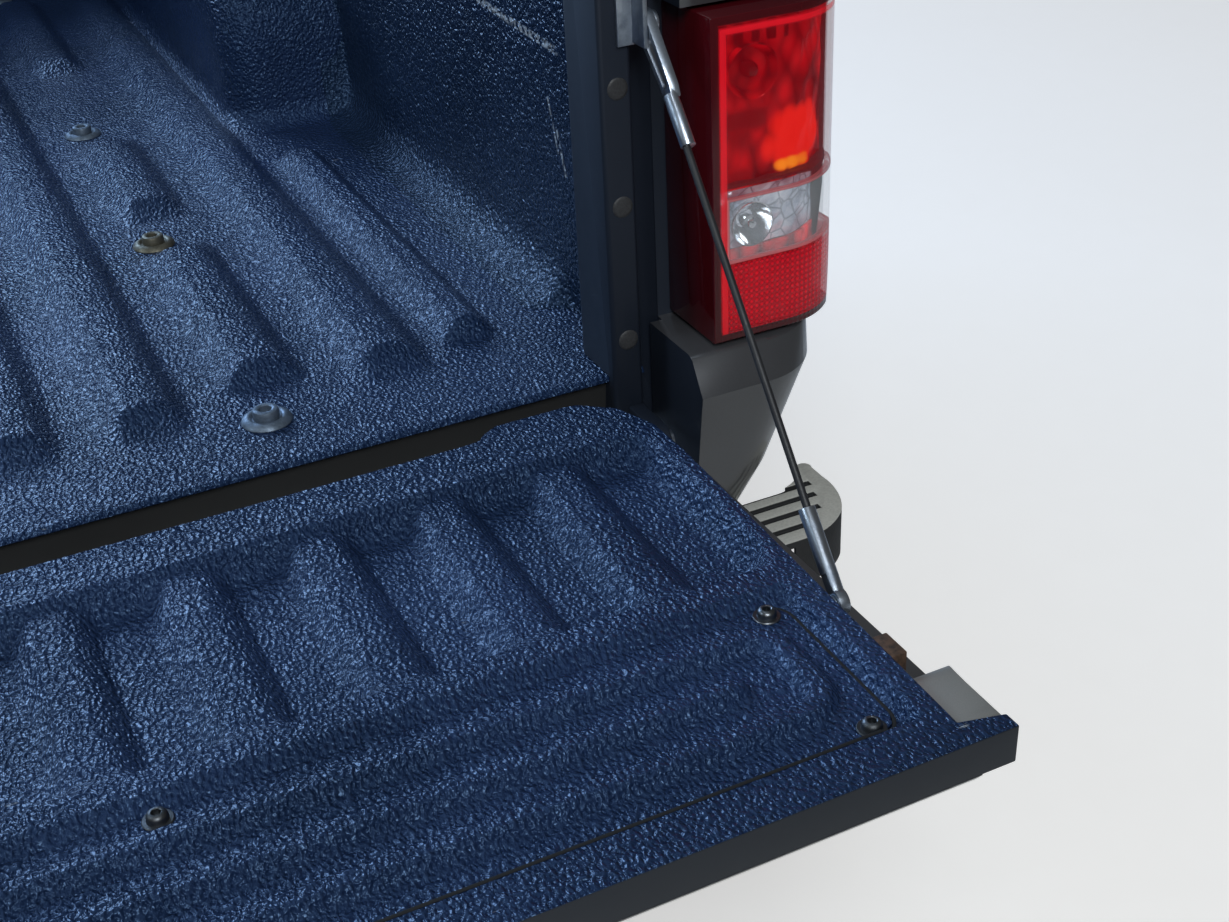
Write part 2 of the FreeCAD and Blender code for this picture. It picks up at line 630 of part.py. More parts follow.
def rear_pillar():
    strip = PILLAR_INNER + PILLAR_STRIP
    plan = [(PILLAR_INNER, PILLAR_REAR), (strip, PILLAR_REAR), (strip, CHANNEL_FLOOR),
            (CORNER_INNER, CHANNEL_FLOOR), (CORNER_INNER, CORNER_FRONT), (PILLAR_INNER, CORNER_FRONT)]
    facet = [(PILLAR_INNER, CORNER_FRONT), (WALL_INNER, CORNER_FRONT), (WALL_INNER, PILLAR_FACET_FRONT),
             (PILLAR_INNER, PILLAR_FACET_REAR)]
    tall = prism("xy", plan, 0, BED_DEPTH)
    foot = prism("xy", plan, PILLAR_BOTTOM, 0).cut(box(0, WALL_INNER, 0, CORNER_FRONT, -FLOOR_SHEET, 0))
    side = prism("xy", facet, 0, BED_DEPTH - RAIL_DEPTH)
    pillar = joined([tall, foot, side])
    corner = [e for e in pillar.Edges
              if e.BoundBox.ZLength > BED_DEPTH and e.BoundBox.YMax < PILLAR_REAR + 0.01]
    return pillar.makeFillet(PILLAR_ROUND, corner)


def lamp():
    # The red lens, its clear window and the housing behind them
    upper = corner_block(CORNER_REAR)
    body = upper.common(lamp_space(0))
    inset = box(LAMP_INNER + LENS_SHELL, SIDE_WIDEST, CORNER_REAR + LENS_SHELL, LAMP_FRONT,
                LAMP_BOTTOM + LENS_SHELL, LAMP_TOP - LENS_SHELL)
    hollow = upper.copy()
    hollow.translate(V(-LENS_SHELL, LENS_SHELL, 0))
    hollow = hollow.common(inset)
    skin = body.cut(hollow)
    window_space = box(WINDOW_INNER, SIDE_WIDEST + 1, CORNER_REAR - 1, WINDOW_FRONT, WINDOW_BOTTOM,
                       WINDOW_TOP)
    window = skin.common(window_space)
    lens = skin.cut(window_space)
    back = hollow.common(box(LAMP_INNER, SIDE_WIDEST, LAMP_BACK_REAR, LAMP_FRONT, LAMP_BOTTOM, LAMP_TOP))
    shelf_low = WINDOW_TOP + SHELF_RISE
    shelf = hollow.common(box(LAMP_INNER, SIDE_WIDEST, CORNER_REAR + 3 * LENS_SHELL, LAMP_FRONT,
                              shelf_low, shelf_low + SHELF_THICK))
    housing = joined([back, shelf])
    bowls = []
    for height, radius in BOWLS:
        small = radius * BOWL_BACK_SHARE
        back = V(BOWL_X, LAMP_BACK_REAR, height)
        inside = back - V(0, BOWL_WALL + 1, 0)
        rearward = V(0, -1, 0)
        outer = Part.makeCone(small, radius, BOWL_DEEP, back, rearward)
        inner = Part.makeCone(small - BOWL_WALL, radius - BOWL_WALL, BOWL_DEEP, inside, rearward)
        bulb = Part.makeCylinder(BULB_RADIUS, BULB_LENGTH, back, rearward)
        bowls.append(joined([outer.cut(inner), bulb]))
    return lens, window, housing, Part.makeCompound(bowls)


def gate_half_plan():
    # The hinge edge steps out at a shoulder, and the side drops back past the hinge
    return [(0, GATE_HINGE_EDGE), (SHOULDER_START, GATE_HINGE_EDGE),
            (SHOULDER_START + 15, GATE_SHOULDER_EDGE), (SHOULDER_END, GATE_SHOULDER_EDGE),
            (GATE_SIDE - 17, GATE_HINGE_EDGE - 7),
            (GATE_SIDE - 2, GATE_HINGE_EDGE - 47), (GATE_SIDE, GATE_HINGE_EDGE - 97),
            (GATE_SIDE_AT_FREE_EDGE, GATE_FREE_EDGE + GATE_EAR_WIDTH + GATE_EAR_SLOPE),
            (GATE_EAR, GATE_FREE_EDGE + GATE_EAR_WIDTH), (GATE_EAR, GATE_FREE_EDGE), (0, GATE_FREE_EDGE)]


def both_halves(shape):
    return shape.fuse(mirrored(shape)).removeSplitter()


def gate_ribs():
    ribs = []
    reach = (GATE_RIB_COUNT - 1) / 2 * GATE_RIB_PITCH
    slope = (GATE_RIB_BASE - GATE_RIB_TOP) / 2
    for number in range(GATE_RIB_COUNT):
        x = number * GATE_RIB_PITCH - reach
        ribs.append(pressing(x - GATE_RIB_BASE / 2, x + GATE_RIB_BASE / 2, RECESS_END - GATE_RIB_END_LAP,
                             RECESS_START + GATE_RIB_END_LAP, GATE_TOP - RECESS_DEPTH, GATE_RIB_RISE,
                             slope, 0, 0))
    return ribs


def gate_pins():
    pin = rod(PIN_ROOT_X, BRACKET_X + BRACKET_THICK + PIN_END_PROUD, HINGE_Y, HINGE_Z, PIN_RADIUS)
    return Part.makeCompound([pin, mirrored(pin)])


def cable_studs():
    stud = rod(LATCH_X, STUD.x - EYE_THICK / 2 - SEAT_GAP, STUD.y, STUD.z, STUD_RADIUS)
    return Part.makeCompound([stud, mirrored(stud)])


def latch():
    return box(LATCH_X, LATCH_X + LATCH_PROUD, LATCH_Y - LATCH_LENGTH / 2, LATCH_Y + LATCH_LENGTH / 2,
               LATCH_BOTTOM, LATCH_TOP)


def tailgate_inner():
    bottom = GATE_TOP - GATE_INNER_THICK
    panel = both_halves(prism("xy", gate_half_plan(), bottom, GATE_TOP))
    free_edge = [e for e in panel.Edges if e.BoundBox.YMax < GATE_FREE_EDGE + 0.01
                 and e.BoundBox.ZMin > GATE_TOP - 0.01]
    panel = panel.makeFillet(GATE_EDGE_ROUND, free_edge)
    recess = pressing(-RECESS_HALF, RECESS_HALF, RECESS_END, RECESS_START, GATE_TOP, -RECESS_DEPTH,
                      RECESS_SLOPE, RECESS_SLOPE, RECESS_SLOPE)
    panel = panel.cut(recess.cut(gate_ribs()))
    wide = COVER_HALF + COVER_SIDE_GAP + COVER_STEP
    depth = COVER_SINK + COVER_SHEET
    start = COVER_START + COVER_START_GAP + COVER_STEP
    panel = panel.cut(pressing(-wide, wide, COVER_END - COVER_SIDE_GAP, start, GATE_TOP, -depth,
                               COVER_STEP, 0, COVER_STEP))
    panel = panel.cut([gate_pins(), cable_studs(), latch(), mirrored(latch())])
    return panel.removeSplitter()


def tailgate_outer():
    top = GATE_TOP - GATE_INNER_THICK
    middle = (GATE_HINGE_EDGE + GATE_FREE_EDGE) / 2
    barrel = [(GATE_HINGE_EDGE, top), (GATE_HINGE_EDGE, top - GATE_INNER_THICK / 2),
              (middle, GATE_SKIN_BULGE, GATE_FREE_EDGE + 6, top - 8), (GATE_FREE_EDGE, top)]
    skin = prism("yz", barrel, -PILLAR_INNER, PILLAR_INNER)
    low = GATE_SKIN_BULGE - 5
    skin = skin.common(both_halves(prism("xy", gate_half_plan(), low, top)))
    free = GATE_FREE_EDGE
    # The skin's side edge: flat along the gate, then curling up to its free corner
    wing = [(GATE_FLANGE_START, GATE_SKIN_BULGE + 10), (GATE_FLANGE_START, GATE_SKIN_BULGE + 5.5),
            (middle - 15, GATE_SKIN_BULGE, free + 9, GATE_SKIN_BULGE + 18),
            (free + 4, GATE_SKIN_BULGE + 34),
            (free + 13, GATE_SKIN_BULGE + 47, free + 29, GATE_SKIN_BULGE + 50),
            (free + 72, GATE_SKIN_BULGE + 47),
            (free + 88, GATE_SKIN_BULGE + 39, free + 95, GATE_SKIN_BULGE + 12)]
    flange = prism("yz", wing, GATE_SIDE_AT_FREE_EDGE - 12, GATE_SKIN_HALF)
    side = [(GATE_SIDE_AT_FREE_EDGE - 13, low), (GATE_SKIN_HALF, low), (GATE_SKIN_HALF, WING_FOOT),
            (GATE_SKIN_HALF - 9, WING_CREST - 6, WING_FLAT, WING_CREST),
            (GATE_SIDE_AT_FREE_EDGE - 13, WING_CREST)]
    flange = flange.common(prism("xz", side, free, GATE_FLANGE_START))
    flange = flange.cut(both_halves(prism("xy", gate_half_plan(), top, GATE_TOP + 5)))
    skin = joined([skin, flange, mirrored(flange)])
    hand = rounded_plate(-HANDLE_WIDTH / 2, HANDLE_WIDTH / 2, HANDLE_Y - HANDLE_HEIGHT / 2,
                         HANDLE_Y + HANDLE_HEIGHT / 2, low, top - HANDLE_SEAT, HANDLE_CORNER)
    skin = skin.cut([hand, gate_pins()])
    return skin.removeSplitter()


def tailgate_handle():
    top = GATE_TOP - GATE_INNER_THICK - HANDLE_SEAT
    low = top - HANDLE_DEPTH
    half = HANDLE_WIDTH / 2
    free = HANDLE_Y - HANDLE_HEIGHT / 2
    near = HANDLE_Y + HANDLE_HEIGHT / 2
    frame = rounded_plate(-half, half, free, near, low - HANDLE_LIP, top, HANDLE_CORNER)
    inside = rounded_plate(-half + HANDLE_RIM, half - HANDLE_RIM, free + HANDLE_RIM, near - HANDLE_RIM,
                           low - HANDLE_LIP - 1, top - HANDLE_SEAT, HANDLE_CORNER - 4)
    paddle = rounded_plate(-PADDLE_HALF, PADDLE_HALF, free + PADDLE_INSET, HANDLE_Y + PADDLE_REACH,
                           low, low + PADDLE_THICK, PADDLE_INSET)
    stem = box(-PADDLE_HALF + PADDLE_STEM_INSET, PADDLE_HALF - PADDLE_STEM_INSET, free + PADDLE_INSET,
               free + PADDLE_INSET + PADDLE_STEM, low, top - 2)
    return joined([frame.cut(inside), paddle, stem])


def bead_ring(half, start, end, radius, z0, z1):
    return rounded_plate(-half, half, end, start, z0, z1, radius)


def access_cover():
    seat = GATE_TOP - COVER_SINK - COVER_SHEET
    face = seat + COVER_SHEET
    crest = face + BEAD_RISE
    plate = rounded_plate(-COVER_HALF, COVER_HALF, COVER_END, COVER_START, seat, face, COVER_CORNER)
    ring = bead_ring(BEAD_RING_HALF, BEAD_RING_START, BEAD_RING_END, BEAD_RING_ROUND, seat, crest)
    hole = bead_ring(BEAD_RING_HALF - BEAD_WIDTH, BEAD_RING_START - BEAD_WIDTH, BEAD_RING_END + BEAD_WIDTH,
                     BEAD_RING_ROUND - BEAD_WIDTH / 2, seat - 1, crest + 1)
    ring = ring.cut(hole)
    crests = [e for e in ring.Edges if e.BoundBox.ZMin > crest - 0.01]
    ring = ring.makeFillet(BEAD_SOFTEN, crests)
    bar = bead_ring(BEAD_BAR_HALF, BEAD_BAR_Y + BEAD_WIDTH / 2, BEAD_BAR_Y - BEAD_WIDTH / 2,
                    BEAD_WIDTH / 2 - 0.1, seat, crest)
    bar = bar.makeFillet(BEAD_SOFTEN, [e for e in bar.Edges if e.BoundBox.ZMin > crest - 0.01])
    return joined([plate, ring, bar])


def cover_screws():
    face = GATE_TOP - COVER_SINK
    screws = []
    for x, y in COVER_SCREWS:
        for side in (-1, 1):
            head = post(side * x, y, face, face + SCREW_HEIGHT, SCREW_RADIUS)
            head = head.makeFillet(SCREW_ROUND, [e for e in head.Edges if e.BoundBox.ZMin > face + 1])
            screws.append(head.cut(post(side * x, y, face + SCREW_SOCKET_FLOOR, face + SCREW_HEIGHT + 1,
                                        SCREW_SOCKET_RADIUS)))
    return Part.makeCompound(screws)


def hinge_bracket():
    end = BRACKET_X + BRACKET_THICK
    arm = box(BRACKET_X, end, HINGE_Y, PILLAR_REAR, HINGE_Z - BRACKET_ARM_DROP,
              HINGE_Z + BRACKET_BOSS)
    boss = rod(BRACKET_X, end, HINGE_Y, HINGE_Z, BRACKET_BOSS)
    bore = rod(BRACKET_X - 1, end + 1, HINGE_Y, HINGE_Z, PIN_RADIUS + PIN_CLEARANCE)
    return joined([arm, boss]).cut(bore)


def cable_anchor():
    # Keeper plate on the pillar, with the pin that carries the cable's eye
    inner = ANCHOR.x - EYE_THICK / 2 - SEAT_GAP
    outer = ANCHOR.x + EYE_THICK / 2 + SEAT_GAP
    plate = box(KEEPER_INNER, inner, PILLAR_REAR - KEEPER_THICK, PILLAR_REAR, ANCHOR.z - KEEPER_DROP,
                ANCHOR.z + KEEPER_RISE)
    lug = box(inner - KEEPER_THICK, inner, ANCHOR.y - 13, PILLAR_REAR, ANCHOR.z - 16, ANCHOR.z + 34)
    pin = rod(inner - KEEPER_THICK, outer, ANCHOR.y, ANCHOR.z, ANCHOR_PIN_RADIUS)
    button = rod(outer, outer + BUTTON_THICK, ANCHOR.y, ANCHOR.z, BUTTON_RADIUS)
    return joined([plate, lug, pin, button])


# The cable is taut while the gate is open. It folds at two places, and where its upper length ends,
# the fold hangs beside it, nearer the gate.
SPAN = V(0, STUD.y - ANCHOR.y, STUD.z - ANCHOR.z)
CABLE_LENGTH = SPAN.Length
FOLD_START = ANCHOR + SPAN * (UPPER_LINK / CABLE_LENGTH)
FOLD_END = ANCHOR + SPAN * ((UPPER_LINK + BEND_LINK) / CABLE_LENGTH)
UPPER_END = V(FOLD_OUTER_X, FOLD_START.y, FOLD_START.z)
BEND_TOP = V(FOLD_INNER_X, FOLD_START.y, FOLD_START.z)
BEND_FOOT = V(FOLD_INNER_X, FOLD_END.y, FOLD_END.z)


def toward(start, end, distance):
    # The point that lies that far from start on the way to end
    return start + (end - start) * (distance / (end - start).Length)


def round_bar(start, end, radius):
    return Part.makeCylinder(radius, (end - start).Length, start, end - start)


def cable_run(start, end, start_point, end_point):
    # A length of cable, tapered to a point at each end that meets a bend
    pieces = []
    first = start
    last = end
    if start_point:
        tip = toward(start, end, BEND_GAP / 2)
        first = toward(tip, end, CABLE_POINT)
        pieces.append(Part.makeCone(CABLE_TIP, CABLE_RADIUS, CABLE_POINT, tip, end - start))
    if end_point:
        tip = toward(end, start, BEND_GAP / 2)
        last = toward(tip, start, CABLE_POINT)
        pieces.append(Part.makeCone(CABLE_TIP, CABLE_RADIUS, CABLE_POINT, tip, start - end))
    return joined([round_bar(first, last, CABLE_RADIUS)] + pieces)


FERRULE_END = toward(ANCHOR, UPPER_END, EYE_LENGTH + FERRULE_LENGTH)
SLEEVE_START = toward(STUD, BEND_FOOT, SLEEVE_LENGTH + SLEEVE_END_GAP)


def cable_eye():
    x0 = ANCHOR.x - EYE_THICK / 2
    x1 = ANCHOR.x + EYE_THICK / 2
    y = ANCHOR.y
    z = ANCHOR.z
    outer = EYE_RADIUS
    end = EYE_LENGTH
    outline = [(y - outer, z), (y, z + outer, y + outer, z), (y + outer - 3, z - end + 8),
               (y + EYE_NECK_HALF, z - end), (y - EYE_NECK_HALF, z - end), (y - outer + 3, z - end + 8)]
    link = prism("yz", outline, x0, x1)
    inner = outer - EYE_BAR
    slot = prism("yz", [(y - inner + 1, z - 18), (y, z - 14, y + inner - 1, z - 18),
                        (y + inner - 3, z - end + 14), (y, z - end + 10, y - inner + 3, z - end + 14)],
                 x0 - 1, x1 + 1)
    link = link.cut([slot, rod(x0 - 1, x1 + 1, y, z, ANCHOR_PIN_RADIUS + PIN_CLEARANCE)])
    turn = degrees(atan2(-SPAN.y, -SPAN.z))
    link.rotate(ANCHOR, V(1, 0, 0), -turn)
    ferrule = round_bar(toward(ANCHOR, UPPER_END, end - FERRULE_LAP), FERRULE_END, FERRULE_RADIUS)
    return joined([link, ferrule])


def cable_sleeve():
    # Round at first, then cut flat beside the gate, so that it keeps clear of the stud's end face
    round_end = toward(STUD, BEND_FOOT, SLEEVE_FLAT)
    flat_end = toward(STUD, BEND_FOOT, SLEEVE_END_GAP)
    inner = STUD.x - EYE_THICK / 2
    half = SLEEVE_LENGTH
    slab = box(inner, inner + EYE_THICK + SLEEVE_RADIUS, STUD.y - half, STUD.y + half, STUD.z - half,
               STUD.z + half)
    tab = rod(inner, inner + EYE_THICK, STUD.y, STUD.z, EYE_RADIUS - 1)
    flat = round_bar(SLEEVE_START, flat_end, SLEEVE_RADIUS).common(slab)
    return joined([round_bar(SLEEVE_START, round_end, SLEEVE_RADIUS), flat, tab])


def fuel_space(grow, deep):
    half = FUEL_SIZE / 2 + grow
    plate = rounded_plate(-half, half, -half, half, 0, deep + FUEL_CORNER, FUEL_CORNER)
    plate.rotate(V(0, 0, 0), V(0, 1, 0), 90)
    plate.translate(V(SIDE_WIDEST - deep, FUEL_Y, FUEL_Z))
    return plate


def fuel_door():
    # Drawn on the right and mirrored to the left
    wall = bedside()
    panel = wall.common(fuel_space(0, SIDE_WIDEST))
    behind = wall.copy()
    behind.translate(V(-FUEL_DOOR_THICK, 0, 0))
    panel = panel.cut(behind)
    panel = panel.common(fuel_space(0, FUEL_POCKET))
    hinge_x, hinge_y = fuel_hinge_place()
    barrels = []
    for z in (FUEL_Z - FUEL_BARREL_Z, FUEL_Z + FUEL_BARREL_Z):
        low = z - FUEL_BARREL_HALF
        high = z + FUEL_BARREL_HALF
        barrel = post(hinge_x, hinge_y, low, high, FUEL_HINGE_RADIUS)
        leaf = box(hinge_x - FUEL_HINGE_RADIUS, hinge_x - FUEL_HINGE_RADIUS + 3, hinge_y - FUEL_LUG_SIZE,
                   hinge_y, low, high)
        bore = post(hinge_x, hinge_y, low - 1, high + 1, FUEL_HINGE_PIN + PIN_CLEARANCE)
        barrels.append(barrel.fuse(leaf).cut(bore))
    return joined([panel] + barrels)


def fuel_hinge_place():
    return SIDE_WIDEST + FUEL_HINGE_PROUD, FUEL_Y + FUEL_SIZE / 2 + FUEL_GAP


def fuel_hinge():
    # One pin through both barrels, held by lugs above, between and below them
    x, y = fuel_hinge_place()
    reach = FUEL_BARREL_HALF + FUEL_LUG_GAP
    inner = FUEL_BARREL_Z - reach
    outer = FUEL_BARREL_Z + reach
    lugs = [post(x, y, FUEL_Z - FUEL_PIN_HALF, FUEL_Z + FUEL_PIN_HALF, FUEL_HINGE_PIN)]
    for low, high in ((-FUEL_PIN_HALF, -outer), (-inner, inner), (outer, FUEL_PIN_HALF)):
        lugs.append(box(x - FUEL_LUG_SIZE, x + 3, y - 3, y + FUEL_LUG_SIZE, FUEL_Z + low, FUEL_Z + high))
    return joined(lugs)


def fuel_cap():
    base = SIDE_WIDEST - FUEL_POCKET
    seat = base + FUEL_NECK
    face = seat + FUEL_CAP_THICK
    neck = rod(base, seat, FUEL_Y, FUEL_Z, FUEL_NECK_RADIUS)
    cap = rod(seat, face, FUEL_Y, FUEL_Z, FUEL_CAP_RADIUS)
    grip = box(face - 8, face + FUEL_GRIP_PROUD, FUEL_Y - FUEL_NECK_RADIUS, FUEL_Y + FUEL_NECK_RADIUS,
               FUEL_Z - FUEL_GRIP_HALF, FUEL_Z + FUEL_GRIP_HALF)
    return joined([neck, cap, grip])


def pad_plan():
    # The right pad seen from above, with its end turned forward round the corner
    end = PAD_END
    return [(0, PAD_FRONT), (end - 50, PAD_FRONT), (end - 30, PAD_FRONT + 6, end - 14, PAD_FRONT + 26),
            (end - 4, PAD_FRONT + 31, end, PAD_FRONT + 20), (end, PAD_FRONT),
            (end - 4, PAD_FRONT - 35, end - 16, PAD_FRONT - 58),
            (end - 30, PAD_REAR + 12, end - 62, PAD_REAR),
            (0, PAD_REAR)]


def bumper_pad():
    low = PAD_TOP - PAD_THICK
    start = PAD_SPLIT + PAD_SEAM / 2
    far = PAD_END + 1
    rear = PAD_REAR - 1
    front = CORNER_FRONT
    pad = prism("xy", pad_plan(), low, PAD_TOP).common(box(start, far, rear, front, low, PAD_TOP))
    skirt = prism("xy", pad_plan(), low - PAD_SKIRT, low)
    sole = [e for e in prism("xy", pad_plan(), 0, 1).Edges if e.BoundBox.ZMax < 0.01]
    core = Part.Face(Part.Wire(sole)).makeOffset2D(-PAD_SKIRT_WALL).extrude(V(0, 0, PAD_SKIRT + 2))
    core.translate(V(0, 0, low - PAD_SKIRT - 1))
    skirt = skirt.common(box(PAD_SKIRT_FROM, far, rear, front, low - PAD_SKIRT, low)).cut(core)
    for y, end in PAD_SLOTS:
        pad = pad.cut(box(start + PAD_SLOT_START, end, y - PAD_SLOT_WIDTH / 2, y + PAD_SLOT_WIDTH / 2,
                          PAD_TOP - PAD_SLOT_DEPTH, PAD_TOP + 1))
    return joined([pad, skirt])


def bumper_pad_centre():
    low = PAD_TOP - PAD_THICK
    half = PAD_SPLIT - PAD_SEAM / 2
    outer = half - PAD_SLOT_START
    pad = box(-half, half, PAD_REAR, PAD_FRONT, low, PAD_TOP)
    for y, end in PAD_SLOTS:
        for x0, x1 in ((-outer, -BALL_WELL_HALF), (BALL_WELL_HALF, outer)):
            pad = pad.cut(box(x0, x1, y - PAD_SLOT_WIDTH / 2, y + PAD_SLOT_WIDTH / 2,
                              PAD_TOP - PAD_SLOT_DEPTH, PAD_TOP + 1))
    return pad.cut(post(0, BALL_HOLE_Y, low - 1, PAD_TOP + 1, BALL_WELL_RADIUS))


def bumper_bar():
    # A channel of bent sheet, open to the front, with a hole for a towing ball in its top flange
    top = PAD_TOP - PAD_THICK
    low = top - BAR_HEIGHT

    def outline(gap):
        turn = BAR_ROUND - gap
        soft = turn * (1 - 1 / sqrt(2))
        back = BAR_REAR + gap
        front = BAR_TOP_FRONT + gap
        high = top - gap
        base = low + gap
        return [(front, high), (back + turn, high), (back + soft, high - soft, back, high - turn),
                (back, base + turn), (back + soft, base + soft, back + turn, base), (front, base)]
    bar = prism("yz", outline(0), -BAR_HALF, BAR_HALF)
    bar = bar.cut(prism("yz", outline(BAR_SHEET), -BAR_HALF - 1, BAR_HALF + 1))
    foot = box(-BAR_HALF - 1, BAR_HALF + 1, BAR_FOOT_FRONT, BAR_TOP_FRONT + 1, low - 1, top - BAR_SHEET)
    bar = bar.cut(foot)
    return bar.cut(post(0, BALL_HOLE_Y, top - 2 * BAR_SHEET, top + 1, BALL_HOLE_RADIUS))


def bumper_brackets():
    # Each is a web that rises from the bar to the rear sill, with a foot on the bar's back wall
    under = -FLOOR_SHEET - SILL_HEIGHT
    inside = BAR_REAR + BAR_SHEET
    flange = PAD_TOP - PAD_THICK - BAR_SHEET
    sill_rear = SILL_REAR_GAP + SILL_TAPER
    outline = [(sill_rear, under), (sill_rear + BRACKET_HEAD, under),
               (sill_rear + BRACKET_WAIST, flange - 10),
               (sill_rear + 6, flange - BRACKET_KNEE), (inside + 5, flange - BRACKET_FOOT_LOW),
               (inside + 5, flange - 20), (0, flange - 20), (sill_rear, flange)]
    x0 = BUMPER_BRACKET_X - BUMPER_BRACKET_THICK / 2
    x1 = BUMPER_BRACKET_X + BUMPER_BRACKET_THICK / 2
    web = prism("yz", outline, x0, x1)
    foot = box(BUMPER_BRACKET_X - BUMPER_FOOT_HALF, BUMPER_BRACKET_X + BUMPER_FOOT_HALF, inside,
               inside + BUMPER_FOOT_THICK, flange - 105, flange - 15)
    for y in BUMPER_HOLES:
        web = web.cut(rod(x0 - 1, x1 + 1, y, BUMPER_HOLE_Z, BUMPER_HOLE_RADIUS))
    bracket = joined([web, foot])
    return Part.makeCompound([bracket, mirrored(bracket)])


def blank_plate():
    centre = PAD_TOP - PAD_THICK - BAR_HEIGHT / 2
    plate = rounded_plate(-PLATE_WIDTH / 2, PLATE_WIDTH / 2, -PLATE_HEIGHT / 2, PLATE_HEIGHT / 2, 0,
                          PLATE_THICK, PLATE_CORNER)
    plate.rotate(V(0, 0, 0), V(1, 0, 0), 90)
    plate.translate(V(0, BAR_REAR, centre))
    return plate


os.makedirs("parts", exist_ok=True)

# The bed's own pieces
saved("floor_pan", floor_pan())
saved("cross_sills", cross_sills())
saved("bed_bolts", bed_bolts())
saved("front_panel", front_panel())
side_wall = bedside_right()
saved("bedside_right", side_wall)
hinge_x, hinge_y = fuel_hinge_place()
fuel_hole = fuel_space(FUEL_GAP, FUEL_POCKET)
groove_half = FUEL_BARREL_Z + FUEL_BARREL_HALF + FUEL_LUG_GAP
fuel_groove = post(hinge_x, hinge_y, FUEL_Z - groove_half, FUEL_Z + groove_half, FUEL_HINGE_RADIUS + FUEL_GAP)
saved("bedside_left", mirrored(side_wall.cut([fuel_hole, fuel_groove, fuel_hinge()])))
saved("fuel_hinge", mirrored(fuel_hinge()))
saved("fuel_cap", mirrored(fuel_cap()))
saved_pair("wheelhouse", wheelhouse())
saved_pair("rear_pillar", rear_pillar())
saved_pair("hinge_bracket", hinge_bracket())
saved_pair("cable_anchor", cable_anchor())

# Tail lamps
for name, shape in zip(("lamp_lens", "lamp_window", "lamp_housing", "lamp_bowls"), lamp()):
    saved_pair(name, shape)

# Rear bumper
saved("bumper_bar", bumper_bar())
saved_pair("bumper_pad", bumper_pad())
saved("bumper_pad_centre", bumper_pad_centre())
saved("bumper_brackets", bumper_brackets())
saved("blank_plate", blank_plate())

# Tailgate
saved("tailgate_inner", tailgate_inner())
saved("tailgate_outer", tailgate_outer())
saved("tailgate_handle", tailgate_handle())
saved("access_cover", access_cover())
saved("cover_screws", cover_screws())
saved_pair("latch", latch())
saved("hinge_pins", gate_pins())
saved("cable_studs", cable_studs())

# Cables, in three lengths a side, so that they can fold
saved_pair("cable_eye", cable_eye())
saved_pair("cable_upper", cable_run(FERRULE_END, UPPER_END, False, False))
saved_pair("cable_bend", cable_run(BEND_TOP, BEND_FOOT, False, True))
saved_pair("cable_lower", cable_run(BEND_FOOT, SLEEVE_START, True, False))
saved_pair("cable_sleeve", cable_sleeve())

saved("fuel_door", mirrored(fuel_door()))
print("cable length", round(CABLE_LENGTH, 1))
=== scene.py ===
# %% [markdown]
# A pickup truck's load bed with its tailgate let down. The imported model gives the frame: every CAD
# solid is in place and in metres. This script dresses it: a finer mesh where the camera comes close,
# softened edges everywhere, and a material made of nodes for each finish.

# %% Load the frame
import json
from math import cos, pi, radians, sin
import bmesh
import bpy
from mathutils import Matrix, Vector


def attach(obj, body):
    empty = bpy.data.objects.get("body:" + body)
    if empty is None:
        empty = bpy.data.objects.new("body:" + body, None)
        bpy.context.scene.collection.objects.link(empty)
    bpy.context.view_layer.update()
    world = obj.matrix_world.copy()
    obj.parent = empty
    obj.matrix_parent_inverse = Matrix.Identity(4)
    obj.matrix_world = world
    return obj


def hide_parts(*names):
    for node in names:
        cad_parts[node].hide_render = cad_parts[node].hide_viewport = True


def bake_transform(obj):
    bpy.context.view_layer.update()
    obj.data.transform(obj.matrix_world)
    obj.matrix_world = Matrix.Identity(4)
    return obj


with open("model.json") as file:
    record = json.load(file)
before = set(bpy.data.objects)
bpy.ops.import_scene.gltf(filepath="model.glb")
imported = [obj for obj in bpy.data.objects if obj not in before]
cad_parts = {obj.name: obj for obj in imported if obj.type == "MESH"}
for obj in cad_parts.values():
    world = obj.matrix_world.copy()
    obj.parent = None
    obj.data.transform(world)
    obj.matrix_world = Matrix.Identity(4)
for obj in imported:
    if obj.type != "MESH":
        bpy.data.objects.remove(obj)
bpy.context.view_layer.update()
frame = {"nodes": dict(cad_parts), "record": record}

# %% [markdown]
# Sizes are easier to read in millimetres from the rear edge of the bed floor, on its centre line.
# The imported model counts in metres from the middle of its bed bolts, so one helper turns the one
# into the other, and another makes an object from such points and lets it ride on its body.

# %% Places and pieces
BED_FROM_ORIGIN = Vector((0.0, 860.0, -64.0))
rides_on = {node: body for body, nodes in frame["record"]["behaviour"]["bodies"].items()
            for node in nodes}
SIDES = ((1, "right"), (-1, "left"))


def at(x, y, z):
    return (Vector((x, y, z)) - BED_FROM_ORIGIN) / 1000


def link(name, mesh):
    piece = bpy.data.objects.new(name, mesh)
    bpy.context.scene.collection.objects.link(piece)
    return piece


def raw_mesh(name, points, edges, faces):
    mesh = bpy.data.meshes.new(name)
    mesh.from_pydata(points, edges, faces)
    return mesh


def mesh_of(name, points, faces):
    # A smooth mesh from places in millimetres
    mesh = raw_mesh(name, [at(*p) for p in points], [], faces)
    mesh.validate()
    mesh.update()
    mesh.shade_smooth()
    return mesh


def baked(piece):
    # The result of the piece's modifiers as its plain mesh
    graph = bpy.context.evaluated_depsgraph_get()
    mesh = bpy.data.meshes.new_from_object(piece.evaluated_get(graph))
    piece.modifiers.clear()
    piece.data = mesh
    return piece


def bevelled(piece, width, segments, above):
    # Rounds each edge whose faces meet at more than this angle
    bevel = piece.modifiers.new("edges", "BEVEL")
    bevel.limit_method = "ANGLE"
    bevel.width, bevel.segments, bevel.angle_limit = width / 1000, segments, radians(above)
    return baked(piece)


